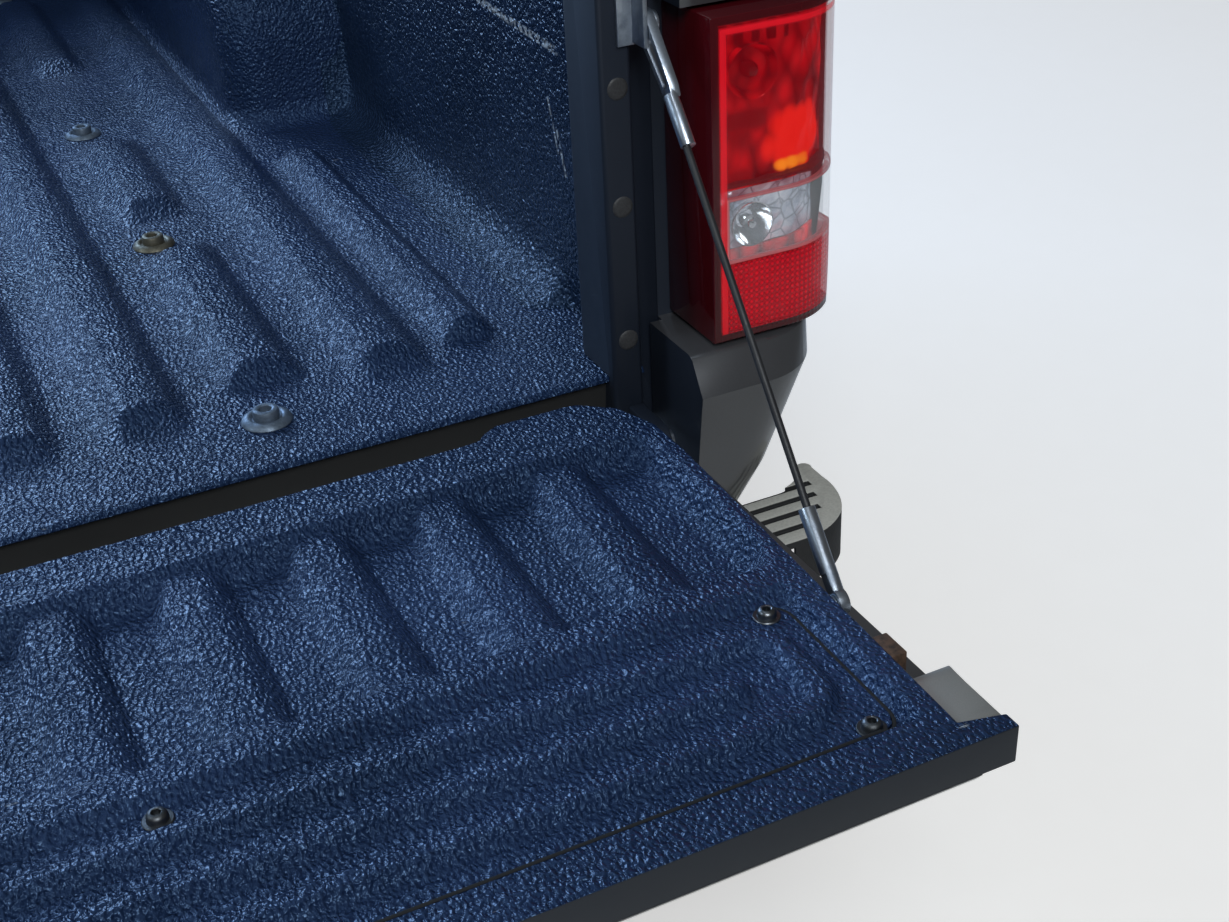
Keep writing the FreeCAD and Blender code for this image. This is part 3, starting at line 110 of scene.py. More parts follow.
def coated(piece, finish, sharp):
    # One finish, and a hard line wherever faces meet at more than this angle
    piece.data.materials.append(finish)
    piece.data.set_sharp_from_angle(angle=radians(sharp))


def placed(piece, body, slot, *nodes):
    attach(piece, body)
    if nodes:
        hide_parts(*nodes)
    triangles = sum(len(face.vertices) - 2 for face in piece.data.polygons)
    print(piece.name, "rides on", body, "with", triangles, "triangles")


# %% [markdown]
# The camera stands behind the tailgate, a little to the right of its middle, and looks down toward
# the right rear corner of the bed. Its place, turn and focal length were solved from edges of known
# size in the photograph.

# %% Camera
CAMERA_AT = (123.7, -1155.4, 675.7)
CAMERA_TURN, CAMERA_DOWN, CAMERA_ROLL = radians(24.63), radians(30.93), radians(2.92)
LENS = 48.08
forward = Vector((sin(CAMERA_TURN) * cos(CAMERA_DOWN), cos(CAMERA_TURN) * cos(CAMERA_DOWN),
                  -sin(CAMERA_DOWN)))
level = Vector((cos(CAMERA_TURN), -sin(CAMERA_TURN), 0))
down = forward.cross(level)
right = cos(CAMERA_ROLL) * level + sin(CAMERA_ROLL) * down
below = cos(CAMERA_ROLL) * down - sin(CAMERA_ROLL) * level
camera = bpy.data.objects.new("camera", bpy.data.cameras.new("camera"))
bpy.context.scene.collection.objects.link(camera)
facing = Matrix((right, -below, -forward)).transposed().to_4x4()
camera.matrix_world = Matrix.Translation(at(*CAMERA_AT)) @ facing
camera.data.sensor_fit = "HORIZONTAL"
camera.data.sensor_width = 36.0
camera.data.lens = LENS
bpy.context.scene.camera = camera
bpy.context.scene.view_settings.view_transform = "Standard"
print("camera at", [round(v, 3) for v in camera.location])

# %% [markdown]
# A sum written as a sum is easier to check than a row of nodes. So a small class wraps a socket and
# overloads the arithmetic: an expression on sockets adds its Math nodes. The same class serves
# materials and Geometry Nodes, because both kinds of tree use the same Math node.

# %% Sums of sockets


class Wire:
    def __init__(self, graph, socket):
        self.graph = graph
        self.socket = socket

    def maths(self, operation, *others, clamp=False):
        inputs = dict(enumerate((self,) + others))
        return self.graph.node("ShaderNodeMath", {"operation": operation, "use_clamp": clamp}, inputs)

    def __add__(self, other):
        return self.maths("ADD", other)

    def __sub__(self, other):
        return self.maths("SUBTRACT", other)

    def __rsub__(self, other):
        return self.graph.number(other).maths("SUBTRACT", self)

    def __mul__(self, other):
        return self.maths("MULTIPLY", other)

    def __truediv__(self, other):
        return self.maths("DIVIDE", other)

    def __neg__(self):
        return self.maths("MULTIPLY", -1.0)

    __radd__ = __add__
    __rmul__ = __mul__

    def size(self):
        return self.maths("ABSOLUTE")

    def least(self, other):
        return self.maths("MINIMUM", other)

    def most(self, other):
        return self.maths("MAXIMUM", other)

    def unit(self):
        # Held between 0 and 1
        return self.maths("MULTIPLY", 1.0, clamp=True)

    def eased(self):
        # Held between 0 and 1, with a soft start and a soft end
        held = self.unit()
        return held * held * (3 - 2 * held)

    def pressed_slope(self):
        # The same, but straight over most of its way, as a pressed flank is
        return (self * 1.16 - 0.08).unit() * 0.72 + self.eased() * 0.28


class Graph:
    def __init__(self, tree):
        self.tree = tree

    def node(self, kind, settings=None, inputs=None, output=0):
        node = self.tree.nodes.new(kind)
        for name, value in (settings or {}).items():
            if name == "stops":
                ramp = node.color_ramp
                while len(ramp.elements) < len(value):
                    ramp.elements.new(0.5)
                for element, (place, colour) in zip(ramp.elements, value):
                    element.position = place
                    element.color = (*colour, 1)
            else:
                setattr(node, name, value)
        for name, value in (inputs or {}).items():
            if isinstance(value, Wire):
                self.tree.links.new(value.socket, node.inputs[name])
            else:
                node.inputs[name].default_value = value
        return Wire(self, node.outputs[output])

    def number(self, value):
        return self.node("ShaderNodeMath", {"operation": "ADD"}, {0: value, 1: 0.0})

    def split(self, vector):
        node = self.tree.nodes.new("ShaderNodeSeparateXYZ")
        self.tree.links.new(vector.socket, node.inputs[0])
        return [Wire(self, socket) for socket in node.outputs]


# %% [markdown]
# A finish starts as one Principled shader. What is the same all over is set on its sockets, and
# what varies, such as grain, dirt or wear, is linked to them. All patterns read Object coordinates,
# which are metres on every piece here, so one pattern keeps its size from piece to piece.

# %% A finish


class Finish(Graph):
    def __init__(self, name, colour, roughness, metallic=0.0, coat=0.0, alpha=1.0,
                 coat_roughness=0.05):
        self.material = bpy.data.materials.new(name)
        self.material.use_nodes = True
        super().__init__(self.material.node_tree)
        self.shader = self.tree.nodes["Principled BSDF"]
        plain = {"Base Color": (*colour, 1), "Roughness": roughness, "Metallic": metallic,
                 "Coat Weight": coat, "Coat Roughness": coat_roughness, "Alpha": alpha}
        for socket, value in plain.items():
            self.hold(socket, value)
        self.material.diffuse_color = (*colour, 1)
        self.here = self.node("ShaderNodeTexCoord", output="Object")

    def hold(self, socket, value):
        # The same value all over the piece
        self.shader.inputs[socket].default_value = value

    def stretched(self, x, y, z):
        inputs = {0: self.here, 1: (x, y, z)}
        return self.node("ShaderNodeVectorMath", {"operation": "MULTIPLY"}, inputs)

    def noise(self, scale, detail=2.0, where=None, roughness=0.5):
        return self.node("ShaderNodeTexNoise", {}, {"Vector": where or self.here, "Scale": scale,
                                                    "Detail": detail, "Roughness": roughness})

    def cells(self, scale, where=None, feature="SMOOTH_F1"):
        return self.node("ShaderNodeTexVoronoi", {"feature": feature},
                         {"Vector": where or self.here, "Scale": scale})

    def mixed(self, share, first, second):
        # From the first colour to the second
        node = self.tree.nodes.new("ShaderNodeMix")
        node.data_type = "RGBA"
        for place, value in ((0, share), (6, first), (7, second)):
            if isinstance(value, Wire):
                self.tree.links.new(value.socket, node.inputs[place])
            else:
                node.inputs[place].default_value = value if place == 0 else (*value[:3], 1)
        return Wire(self, node.outputs[2])

    def bump(self, height, strength, depth):
        inputs = {"Height": height, "Strength": strength, "Distance": depth}
        self.feed("Normal", self.node("ShaderNodeBump", {}, inputs, "Normal"))

    def feed(self, socket, wire):
        self.tree.links.new(wire.socket, self.shader.inputs[socket])


# %% [markdown]
# The bed is sprayed with a tough black liner, half gloss, with a skin of shallow dimples about
# three millimetres across and a little longer along the bed. Its blue tint is painted sky light. Two
# sizes of cells and a fine grain make the height. The ridges between dimples are paler, and a few pale
# scuffs show where loads slid. The sheen is tinted blue, because the bed lies in the light of the sky.

# %% Liner
PEBBLES, SMALL_PEBBLES, GRAINS = 350.0, 760.0, 900.0
PEBBLE_DEPTH = 0.0024
SCUFF_GREY = (0.42, 0.45, 0.48)


def scrape(across, up, start, end, width):
    # One stroke of a scraped load, as a share that falls off from the line between two places
    run = (end[0] - start[0], end[1] - start[1])
    long = run[0] * run[0] + run[1] * run[1]
    step = ((across - start[0]) * (run[0] / long) + (up - start[1]) * (run[1] / long)).unit()
    off_x, off_y = across - start[0] - step * run[0], up - start[1] - step * run[1]
    distance = (off_x * off_x + off_y * off_y).maths("SQRT")
    return (1 - distance / width).unit()


def liner_finish(name, low, high, scrapes=()):
    liner = Finish(name, low, 0.36)
    liner.hold("Specular Tint", (0.38, 0.62, 1.0, 1))
    wander = liner.node("ShaderNodeTexNoise", {}, {"Vector": liner.here, "Scale": 90.0}, "Color")
    bent = liner.node("ShaderNodeVectorMath", {"operation": "MULTIPLY_ADD"},
                      {0: wander, 1: (0.004, 0.004, 0.004), 2: liner.stretched(1.0, 0.72, 0.8)})
    pebbles = liner.cells(PEBBLES, bent)
    small = liner.cells(SMALL_PEBBLES, bent)
    grain = liner.noise(GRAINS, 3.0)
    liner.bump(1.25 * pebbles + 0.28 * small + 0.06 * grain, 1.0, PEBBLE_DEPTH)
    patches = liner.noise(5.0, 3.0)
    shade = ((patches - 0.35) * 2.6).unit()
    body = liner.mixed(shade, low, high)
    ridge = ((pebbles - 0.34) * 3.0).unit()
    body = liner.mixed(ridge * 0.22, body, (0.040, 0.072, 0.150))
    streak = liner.noise(16.0, 5.0, liner.stretched(1.0, 5.0, 2.2), 0.68)
    broken = ((liner.noise(150.0, 2.0) - 0.42) * 9).unit()
    scuff = ((streak - 0.705) * 22).unit() * broken
    x, y, z = liner.split(liner.here)
    for start, end, width in scrapes:
        along, up = y * 1000 + BED_FROM_ORIGIN.y, z * 1000 + BED_FROM_ORIGIN.z
        stroke = scrape(along, up, start, end, width)
        scuff = scuff.most((stroke * 3).unit() * broken)
    body = liner.mixed(scuff * 0.75, body, SCUFF_GREY)
    liner.feed("Base Color", body)
    liner.feed("Roughness", 0.17 + 0.14 * patches + 0.26 * scuff)
    return liner.material


# The blue in these liner colours is painted sky light on a black liner
LINER = liner_finish("bed_liner", (0.006, 0.015, 0.044), (0.015, 0.031, 0.086))
# Where each stroke on the wall starts and ends, as distance along the bed and height, and its width
WALL_SCRAPES = (((334.0, 250.0), (150.0, 246.0), 4.5), ((176.0, 196.0), (160.0, 150.0), 2.0),
                ((160.0, 171.0), (146.0, 132.0), 2.4))
# The walls take a darker copy of the liner, and the darkening is painted shade on the upright walls
WALL_LINER_SHADED = liner_finish("wall_liner", (0.004, 0.011, 0.030), (0.009, 0.021, 0.052), WALL_SCRAPES)
print("liner nodes", len(LINER.node_tree.nodes))

# %% [markdown]
# The outside is dark grey metallic paint: tiny flakes under a clear coat. The pillars and the edge
# of the tailgate are blue-black with little gloss. A painted steel panel is never quite even, so dust
# in large soft patches changes its roughness a little.

# %% Paints


def paint_finish(name, colour, roughness, coat, flakes, dust):
    paint = Finish(name, colour, roughness, metallic=0.35, coat=coat)
    sparkle = paint.noise(2600.0, 1.0)
    patches = paint.noise(3.5, 4.0)
    fine = paint.noise(60.0, 4.0)
    lift = ((sparkle - 0.5) * flakes + (patches - 0.5) * dust + 0.5).unit()
    darker = tuple(0.72 * c for c in colour)
    lighter = tuple(min(1.0, 1.35 * c + 0.004) for c in colour)
    paint.feed("Base Color", paint.mixed(lift, darker, lighter))
    paint.feed("Roughness", roughness - 0.05 + 0.12 * patches + 0.08 * fine)
    paint.bump(paint.noise(1400.0, 2.0), 0.10, 0.0002)
    return paint.material


BODY_PAINT = paint_finish("body_paint", (0.070, 0.071, 0.077), 0.30, 1.0, 0.9, 0.5)
PILLAR_COAT = paint_finish("pillar_coat", (0.012, 0.018, 0.032), 0.50, 0.05, 0.3, 0.9)
BUMPER_PAINT = paint_finish("bumper_paint", (0.060, 0.060, 0.065), 0.38, 0.5, 0.7, 0.7)
UNDERBODY = paint_finish("underbody", (0.030, 0.030, 0.030), 0.62, 0.0, 0.2, 1.4)
EDGE_COAT = paint_finish("edge_coat", (0.014, 0.018, 0.026), 0.42, 0.2, 0.3, 0.9)
# A pale grey that paints sunlight on the tailgate's free corners
SUNLIT_SKIN = paint_finish("worn_skin_edge", (0.30, 0.29, 0.265), 0.42, 0.2, 0.8, 1.2)
# A flat black for painted shadow
GAP_SHADOW_PAINT = paint_finish("shadow_black", (0.012, 0.012, 0.013), 0.8, 0.0, 0.1, 0.4)
print("paints made")

# %% [markdown]
# Small fittings are zinc plated, with a faint blue and dull patches. The latch post is bare steel and
# has rusted: two browns in blots, rough all over. The cable wears a black sleeve with a fine twist.

# %% Metals and the cable's sleeve


def metal_finish(name, bright, dull, low, high, scale=45.0, metallic=1.0):
    metal = Finish(name, bright, low, metallic=metallic)
    blots = metal.noise(scale, 5.0, roughness=0.62)
    share = ((blots - 0.40) * 4.2).unit()
    metal.feed("Base Color", metal.mixed(share, bright, dull))
    metal.feed("Roughness", low + (high - low) * share)
    metal.bump(metal.noise(scale * 12, 3.0), 0.25, 0.0003)
    return metal.material


ZINC = metal_finish("zinc", (0.50, 0.55, 0.62), (0.27, 0.31, 0.37), 0.30, 0.52)
OLIVE_ZINC = metal_finish("yellowed_zinc", (0.17, 0.16, 0.125), (0.085, 0.078, 0.06), 0.46, 0.66,
                          90.0, 0.7)
DARK_STEEL = metal_finish("dark_steel", (0.16, 0.17, 0.185), (0.07, 0.075, 0.08), 0.34, 0.55)
BOLT_ZINC = metal_finish("bolt_zinc", (0.18, 0.23, 0.30), (0.09, 0.12, 0.16), 0.46, 0.66, 90.0, 0.7)
RUST = metal_finish("rusty_steel", (0.105, 0.058, 0.036), (0.040, 0.026, 0.019), 0.72, 0.92,
                    160.0, 0.15)
CHROME = metal_finish("lamp_bright", (0.82, 0.84, 0.86), (0.62, 0.65, 0.69), 0.10, 0.20, 20.0)
cable = Finish("cable_black", (0.010, 0.010, 0.012), 0.40)
twist = cable.noise(700.0, 2.0, cable.stretched(1.0, 1.0, 0.2))
cable.feed("Roughness", 0.36 + 0.22 * twist)
dusty = cable.noise(30.0, 3.0)
cable.feed("Base Color", cable.mixed(dusty, (0.008, 0.008, 0.010), (0.028, 0.028, 0.031)))
cable.bump(twist, 0.2, 0.0003)
CABLE_BLACK = cable.material
print("metals made")

# %% [markdown]
# Step pads and small trim are grained plastic. The pads have greyed in the sun, more on top of the
# grain than in it, and the pale top of their tread is also painted sunlight. The blank number plate is
# plain white paint with a little road film.

# %% Plastics
# Height of the foot of the slots in the pads
PAD_SLOTS = -156.2


def plastic_finish(name, colour, faded, roughness, grain):
    plastic = Finish(name, colour, roughness)
    skin = plastic.cells(1.0 / grain)
    dust = plastic.noise(14.0, 5.0, roughness=0.6)
    share = (skin * 0.9 + dust * 0.9 - 0.45).unit()
    plastic.feed("Base Color", plastic.mixed(share, colour, faded))
    plastic.feed("Roughness", roughness - 0.08 + 0.2 * dust)
    plastic.bump(skin, 0.35, grain * 0.25)
    return plastic.material


def pad_finish(name, worn_and_sunlit, slot):
    # The tread has greyed, and its pale colour is partly painted sunlight; the slots in it and the
    # skirt keep the plastic's black
    pad = Finish(name, worn_and_sunlit, 0.6)
    height = pad.split(pad.here)[2] * 1000 + BED_FROM_ORIGIN.z
    skin = pad.cells(450.0)
    dust = pad.noise(14.0, 5.0, roughness=0.6)
    tread = (height - PAD_SLOTS).unit()
    pale = pad.mixed((skin * 0.8 + dust * 0.8 - 0.3).unit(), tuple(0.72 * c for c in worn_and_sunlit), worn_and_sunlit)
    pad.feed("Base Color", pad.mixed(tread, slot, pale))
    pad.feed("Roughness", 0.5 + 0.2 * dust)
    pad.bump(skin, 0.35, 0.0006)
    return pad.material


STEP_PLASTIC = pad_finish("step_plastic", (0.70, 0.69, 0.63), (0.018, 0.018, 0.019))
TRIM_PLASTIC = plastic_finish("trim_plastic", (0.022, 0.022, 0.024), (0.06, 0.06, 0.062), 0.5, 0.0016)
PLATE_WHITE = plastic_finish("plate_white", (0.74, 0.74, 0.72), (0.62, 0.61, 0.58), 0.35, 0.004)
print("plastics made")

# %% [markdown]
# The tail lamp is a red shell with a clear window let into it. The shell is see-through in part, so
# the bowls and the faceted reflector behind it show. Its inner side wall is thicker, and it is painted
# dark as shade. Its lower third is cut into small prisms, which is a fine grid of bumps. Daylight that
# has gone round inside the lamp comes out red, and a faint glow of the shell, the reflector and the
# tray stands for it.

# %% Lamp finishes
# Edges of the right lamp and of its window, a place outside it, and the turn per millimetre of a prism
LAMP_X, LAMP_LOW, LAMP_HIGH = 724.0, 40.0, 318.0
WINDOW_X, WINDOW_LOW, WINDOW_HIGH = 740.0, 113.0, 165.0
PAST_LAMP = 900.0
PRISM_WAVE = 1.25


def lamp_finish(name, colour, alpha, roughness):
    glass = Finish(name, colour, roughness, coat=0.4, alpha=alpha, coat_roughness=0.02)
    glass.hold("Specular IOR Level", 0.2)
    return glass


def in_bed(finish):
    # The place in millimetres from the bed's rear edge, the same on both sides
    x, y, z = finish.split(finish.here)
    return x.size() * 1000, y * 1000 + BED_FROM_ORIGIN.y, z * 1000 + BED_FROM_ORIGIN.z


def within(across, up, x0, x1, z0, z1, soft):
    # A box seen from behind, with soft edges
    return ((across - x0).least(x1 - across).least(up - z0).least(z1 - up) / soft).unit()


def round_spot(across, up, x, z, half_x, half_z):
    off_x, off_z = (across - x) / half_x, (up - z) / half_z
    return (1 - off_x * off_x - off_z * off_z).unit()


red = lamp_finish("lamp_red", (0.85, 0.010, 0.020), 0.5, 0.12)
across, along, up = in_bed(red)
edge = (across - LAMP_X).least(LAMP_HIGH - up).least(up - LAMP_LOW)
# The inner side wall of the lens is painted dark as shade
shaded_side_wall = 1 - ((edge - 6.5) / 1.2).unit()
rim = within(across, up, LAMP_X + 7.0, PAST_LAMP, LAMP_LOW, LAMP_HIGH - 9.0, 1.5)
rim = rim * (1 - within(across, up, LAMP_X + 13.0, PAST_LAMP, LAMP_LOW - 9.0, LAMP_HIGH - 14.0, 2.0))
frame_line = within(across, up, WINDOW_X - 3.0, PAST_LAMP, WINDOW_LOW - 3.0, WINDOW_HIGH + 3.0, 0.8)
prism_low = ((WINDOW_LOW - 4 - up) / 2).unit() * ((across - LAMP_X - 14) / 2).unit()
grid_x = ((across * PRISM_WAVE).maths("SINE") + 1) * 0.5
grid_z = ((up * PRISM_WAVE).maths("SINE") + 1) * 0.5
prisms = (grid_x * grid_z) * prism_low
body = red.mixed(prisms, (0.30, 0.003, 0.010), (0.78, 0.012, 0.030))
body = red.mixed(rim, body, (0.90, 0.012, 0.024))
body = red.mixed(frame_line * 0.6, body, (0.80, 0.36, 0.37))
red.feed("Base Color", red.mixed(shaded_side_wall, body, (0.070, 0.004, 0.007)))
solid = 0.30 + 0.66 * shaded_side_wall + 0.42 * rim + 0.40 * prism_low + 0.5 * frame_line
red.feed("Alpha", solid.unit())
red.bump(prisms, 0.6, 0.0010)
glow = red.mixed(prism_low.most(rim), (0.06, 0.0, 0.001), (0.14, 0.001, 0.004))
red.feed("Emission Color", red.mixed(shaded_side_wall, glow, (0, 0, 0)))
red.hold("Emission Strength", 1.0)
LAMP_RED = red.material
LAMP_CLEAR = lamp_finish("lamp_clear", (0.90, 0.93, 0.96), 0.16, 0.04).material
mirror = Finish("lamp_reflector", (0.72, 0.02, 0.015), 0.22, metallic=0.55)
across, along, up = in_bed(mirror)
# The reflector's colour is painted by place: its bright and dark facets and the dark boxes are painted
# reflection and shade
facets = mirror.cells(75.0, mirror.stretched(1.0, 1.0, 0.55), "F1")
ribs = ((across * 0.42).maths("SINE") * 3).unit()
dark = within(across, up, 738.0, 806.0, 286.0, 306.0, 2.0) * (1 - 0.7 * ribs)
dark = dark.most(within(across, up, 738.0, 792.0, 210.0, 240.0, 9.0) * 0.85)
dark = dark.most(within(across, up, 742.0, 802.0, 166.0, 188.0, 8.0) * 0.7)
shade = (facets * 1.5 - 0.25).unit().most(dark)
body = mirror.mixed(shade, (0.95, 0.020, 0.016), (0.10, 0.002, 0.005))
# Two round spots are a painted sunlit hot spot, orange with a yellow glint
painted_sun_spot = (round_spot(across, up, 816.0, 200.0, 42.0, 38.0) * 3.0 - facets * 1.6).unit()
painted_sun_glint = (round_spot(across, up, 810.0, 180.0, 30.0, 10.0) * 2.8 - facets * 2.2).unit()
body = mirror.mixed(painted_sun_spot, body, (1.0, 0.040, 0.012))
mirror.feed("Base Color", mirror.mixed(painted_sun_glint, body, (1.0, 0.42, 0.02)))
glow = mirror.mixed(shade, (0.34, 0.002, 0.006), (0.02, 0, 0))
glow = mirror.mixed(painted_sun_spot, glow, (0.75, 0.010, 0.004))
mirror.feed("Emission Color", mirror.mixed(painted_sun_glint, glow, (1.0, 0.28, 0.01)))
mirror.hold("Emission Strength", 1.2)
mirror.bump(facets, 0.8, 0.003)
REFLECTOR = mirror.material
tray = Finish("lamp_tray", (0.82, 0.84, 0.86), 0.16, metallic=0.55)
seams = tray.cells(62.0, None, "DISTANCE_TO_EDGE")
glints = tray.noise(40.0, 3.0)
silver = tray.mixed(((glints - 0.42) * 5).unit(), (0.40, 0.46, 0.56), (0.95, 0.97, 1.0))
tray.feed("Base Color", tray.mixed(1 - (seams * 14).unit(), silver, (0.05, 0.055, 0.065)))
glow = tray.mixed((glints * 1.6 - 0.5).unit(), (0.02, 0.03, 0.05), (0.34, 0.38, 0.44))
tray.feed("Emission Color", glow)
tray.hold("Emission Strength", 0.8)
tray.bump(seams, 0.7, 0.004)
TRAY = tray.material
BULB_RED = Finish("bulb_red", (0.16, 0.008, 0.010), 0.18, coat=1.0).material
print("lamp finishes made")

# %% [markdown]
# The studio is a pale floor under the part, four large soft lamps, and a world that is white only to
# the camera and to rays that pass through clear parts, and nearly dark to all others. The large blue
# lamp stands for the sky in front of the bed. The floor keeps the shadow. Its own colour and a glow
# that only the camera sees make the background pale, not more light on the part.

# %% Studio
FLOOR_DROP, FLOOR_HALF = -560.0, 14.0
LAMPS_AIM = (300.0, 100.0, 50.0)
WORLD_FOR_OTHERS = 0.08
# Place, size in millimetres, watts and colour of each lamp
SOFT_LAMPS = ((-700.0, 4300.0, 1750.0, 2300.0, 160.0, (0.46, 0.68, 1.0)),
              (-300.0, -2600.0, 2400.0, 1300.0, 72.0, (0.90, 0.96, 1.0)),
              (-2300.0, 600.0, 2000.0, 900.0, 22.0, (0.70, 0.86, 1.0)),
              (300.0, 300.0, 2800.0, 1500.0, 6.0, (0.70, 0.86, 1.0)))


def studio():
    half, low = FLOOR_HALF, at(0, 0, FLOOR_DROP).z
    corners = [(-half, -half, low), (half, -half, low), (half, half, low), (-half, half, low)]
    mesh = raw_mesh("studio_floor", corners, [], [(0, 1, 2, 3)])
    ground = link("studio_floor", mesh)
    floor = Finish("studio_floor", (0.80, 0.80, 0.79), 0.85)
    speckle = floor.noise(25.0, 4.0)
    floor.feed("Base Color", floor.mixed(speckle, (0.74, 0.73, 0.71), (0.80, 0.79, 0.77)))
    # The camera sees the floor paler than the light alone makes it
    seen = floor.node("ShaderNodeLightPath", output="Is Camera Ray")
    floor.feed("Emission Color", floor.mixed(seen, (0, 0, 0), (0.80, 0.79, 0.78)))
    floor.hold("Emission Strength", 0.62)
    mesh.materials.append(floor.material)
    for number, (x, y, z, size, watts, colour) in enumerate(SOFT_LAMPS):
        lamp = bpy.data.lights.new("soft_lamp_%d" % number, "AREA")
        lamp.color = colour
        lamp.size = size / 1000
        lamp.energy = watts
        stand = bpy.data.objects.new(lamp.name, lamp)
        bpy.context.scene.collection.objects.link(stand)
        stand.location = at(x, y, z)
        aim = at(*LAMPS_AIM) - stand.location
        stand.rotation_euler = aim.to_track_quat("-Z", "Y").to_euler()
    world = bpy.data.worlds.new("studio")
    bpy.context.scene.world = world
    world.use_nodes = True
    air = Graph(world.node_tree)
    sky = world.node_tree.nodes["Background"]
    sky.inputs["Color"].default_value = (1, 1, 1, 1)
    seen = air.node("ShaderNodeLightPath", output="Is Camera Ray")
    passing = air.node("ShaderNodeLightPath", output="Is Transmission Ray")
    strength = WORLD_FOR_OTHERS + (1 - WORLD_FOR_OTHERS) * seen.most(passing)
    world.node_tree.links.new(strength.socket, sky.inputs["Strength"])


studio()
print("studio lit by", len(SOFT_LAMPS), "soft lamps")

# %% [markdown]
# The floor, the tailgate's inner side and its cover are pressed panels: flat blanks that a die has
# pushed ribs, a recess and grooves into. Geometry Nodes do the same. A blank with lines close
# together where the metal bends goes in, and the tree lifts each point of its upper face by a height
# worked out from its place. Rounded boxes are the die: the distance to a box's edge sets the height.

# %% Blanks


def lines(start, end, step, bends=(), fine=3.0, reach=14.0):
    # Places from start to end, finer around each bend
    places = []
    here = start
    while here < end - 0.01:
        places.append(here)
        near = any(abs(here - bend) < reach for bend in bends)
        stride = fine if near else step
        ahead = [bend - reach for bend in bends if here + 0.01 < bend - reach < here + stride]
        here = min(ahead) if ahead and not near else here + stride
    return places + [end]


def both_ways(places):
    return sorted({-p for p in places} | set(places))


def blank(name, xs, ys, top, bottom, kept=None, shift=None):
    # A closed slab whose upper face is a grid. kept leaves out cells, shift moves points in plan.
    points, faces, number = [], [], {}

    def corner(i, j):
        if (i, j) not in number:
            x, y = xs[i], ys[j]
            number[i, j] = len(points)
            points.append((*(shift(x, y) if shift else (x, y)), top))
        return number[i, j]

    cells = [(i, j) for i in range(len(xs) - 1) for j in range(len(ys) - 1)
             if not kept or kept((xs[i] + xs[i + 1]) / 2, (ys[j] + ys[j + 1]) / 2)]
    edges = {}
    for i, j in cells:
        face = (corner(i, j), corner(i + 1, j), corner(i + 1, j + 1), corner(i, j + 1))
        faces.append(face)
        for k in range(4):
            edges[face[k], face[(k + 1) % 4]] = True
    rim = {a: b for a, b in edges if (b, a) not in edges}
    low = {a: len(points) + k for k, a in enumerate(rim)}
    points += [(points[a][0], points[a][1], bottom) for a in rim]
    faces += [(b, a, low[a], low[b]) for a, b in rim.items()]
    start = next(iter(rim))
    loop, here = [], start
    while True:
        loop.append(low[here])
        here = rim[here]
        if here == start:
            break
    faces.append(tuple(reversed(loop)))
    return mesh_of(name, points, faces)


print("a blank is a slab with", len(blank("try", [0, 1, 2], [0, 1], 0, -1).polygons), "faces at least")

# %% [markdown]
# Three kinds of Geometry Nodes tree follow: a press, a row of repeated pieces and a sweep. All have
# named inputs, and a modifier finds each input by its socket's identifier, so one class makes the
# sockets, keeps the identifiers and sets the values on a piece.

# %% Trees with named inputs


class Recipe(Graph):
    def __init__(self, title, inputs, result):
        super().__init__(bpy.data.node_groups.new(title, "GeometryNodeTree"))
        self.keys = {}
        sockets = self.tree.interface
        for name, kind in inputs.items():
            socket = sockets.new_socket(name, in_out="INPUT", socket_type="NodeSocket" + kind)
            self.keys[name] = socket.identifier
        sockets.new_socket(result, in_out="OUTPUT", socket_type="NodeSocketGeometry")
        entry = self.tree.nodes.new("NodeGroupInput")
        self.given = {name: Wire(self, entry.outputs[name]) for name in inputs}

    def lead_out(self, result):
        exit_node = self.tree.nodes.new("NodeGroupOutput")
        self.tree.links.new(result.socket, exit_node.inputs[0])

    def set_on(self, piece, values):
        modifier = piece.modifiers.new(self.tree.name, "NODES")
        modifier.node_group = self.tree
        for name, value in values.items():
            modifier[self.keys[name]] = value


# %% [markdown]
# The press is one tree for every panel. Each panel gives it named inputs for its sizes and a rule
# that turns a place into a height. Points under the upper face stay where they are.

# %% The press


def pressed(piece, title, sizes, rule, face):
    press = Recipe(title, {"Blank": "Geometry", **{name: "Float" for name in sizes}}, "Panel")
    x, y, z = press.split(press.node("GeometryNodeInputPosition"))
    height = rule(x * 1000 + BED_FROM_ORIGIN.x, y * 1000 + BED_FROM_ORIGIN.y, press.given)
    lift = press.node("ShaderNodeCombineXYZ", {}, {2: height * 0.001})
    upper = press.node("FunctionNodeCompare", {"data_type": "FLOAT", "operation": "GREATER_THAN"},
                       {0: z, 1: at(0, 0, face - 0.5).z})
    moved = {"Geometry": press.given["Blank"], "Selection": upper, "Offset": lift}
    press.lead_out(press.node("GeometryNodeSetPosition", {}, moved))
    press.set_on(piece, sizes)


def inside(x, y, middle_x, middle_y, half_x, half_y, corner):
    # How far a place is inside the edge of a box with rounded corners
    over_x = (x - middle_x).size() - (half_x - corner)
    over_y = (y - middle_y).size() - (half_y - corner)
    out_x, out_y = over_x.most(0.0), over_y.most(0.0)
    outside = (out_x * out_x + out_y * out_y).maths("SQRT")
    return corner - outside - over_x.most(over_y).least(0.0)


def groove(distance, half_width, depth):
    # A soft groove along the line where distance is nothing
    return -depth * (1 - distance.size() / half_width).eased()


# %% [markdown]
# The bed floor has long ribs at an even pitch on each side of the middle. The fourth is cut short
# where the bed bolts sit, and the outermost makes room for the wheelhouse. The nearest rib's number
# is found by rounding, so one formula makes all of them. A groove crosses the rear of the floor, and
# a lap seam runs beside the fifth rib.

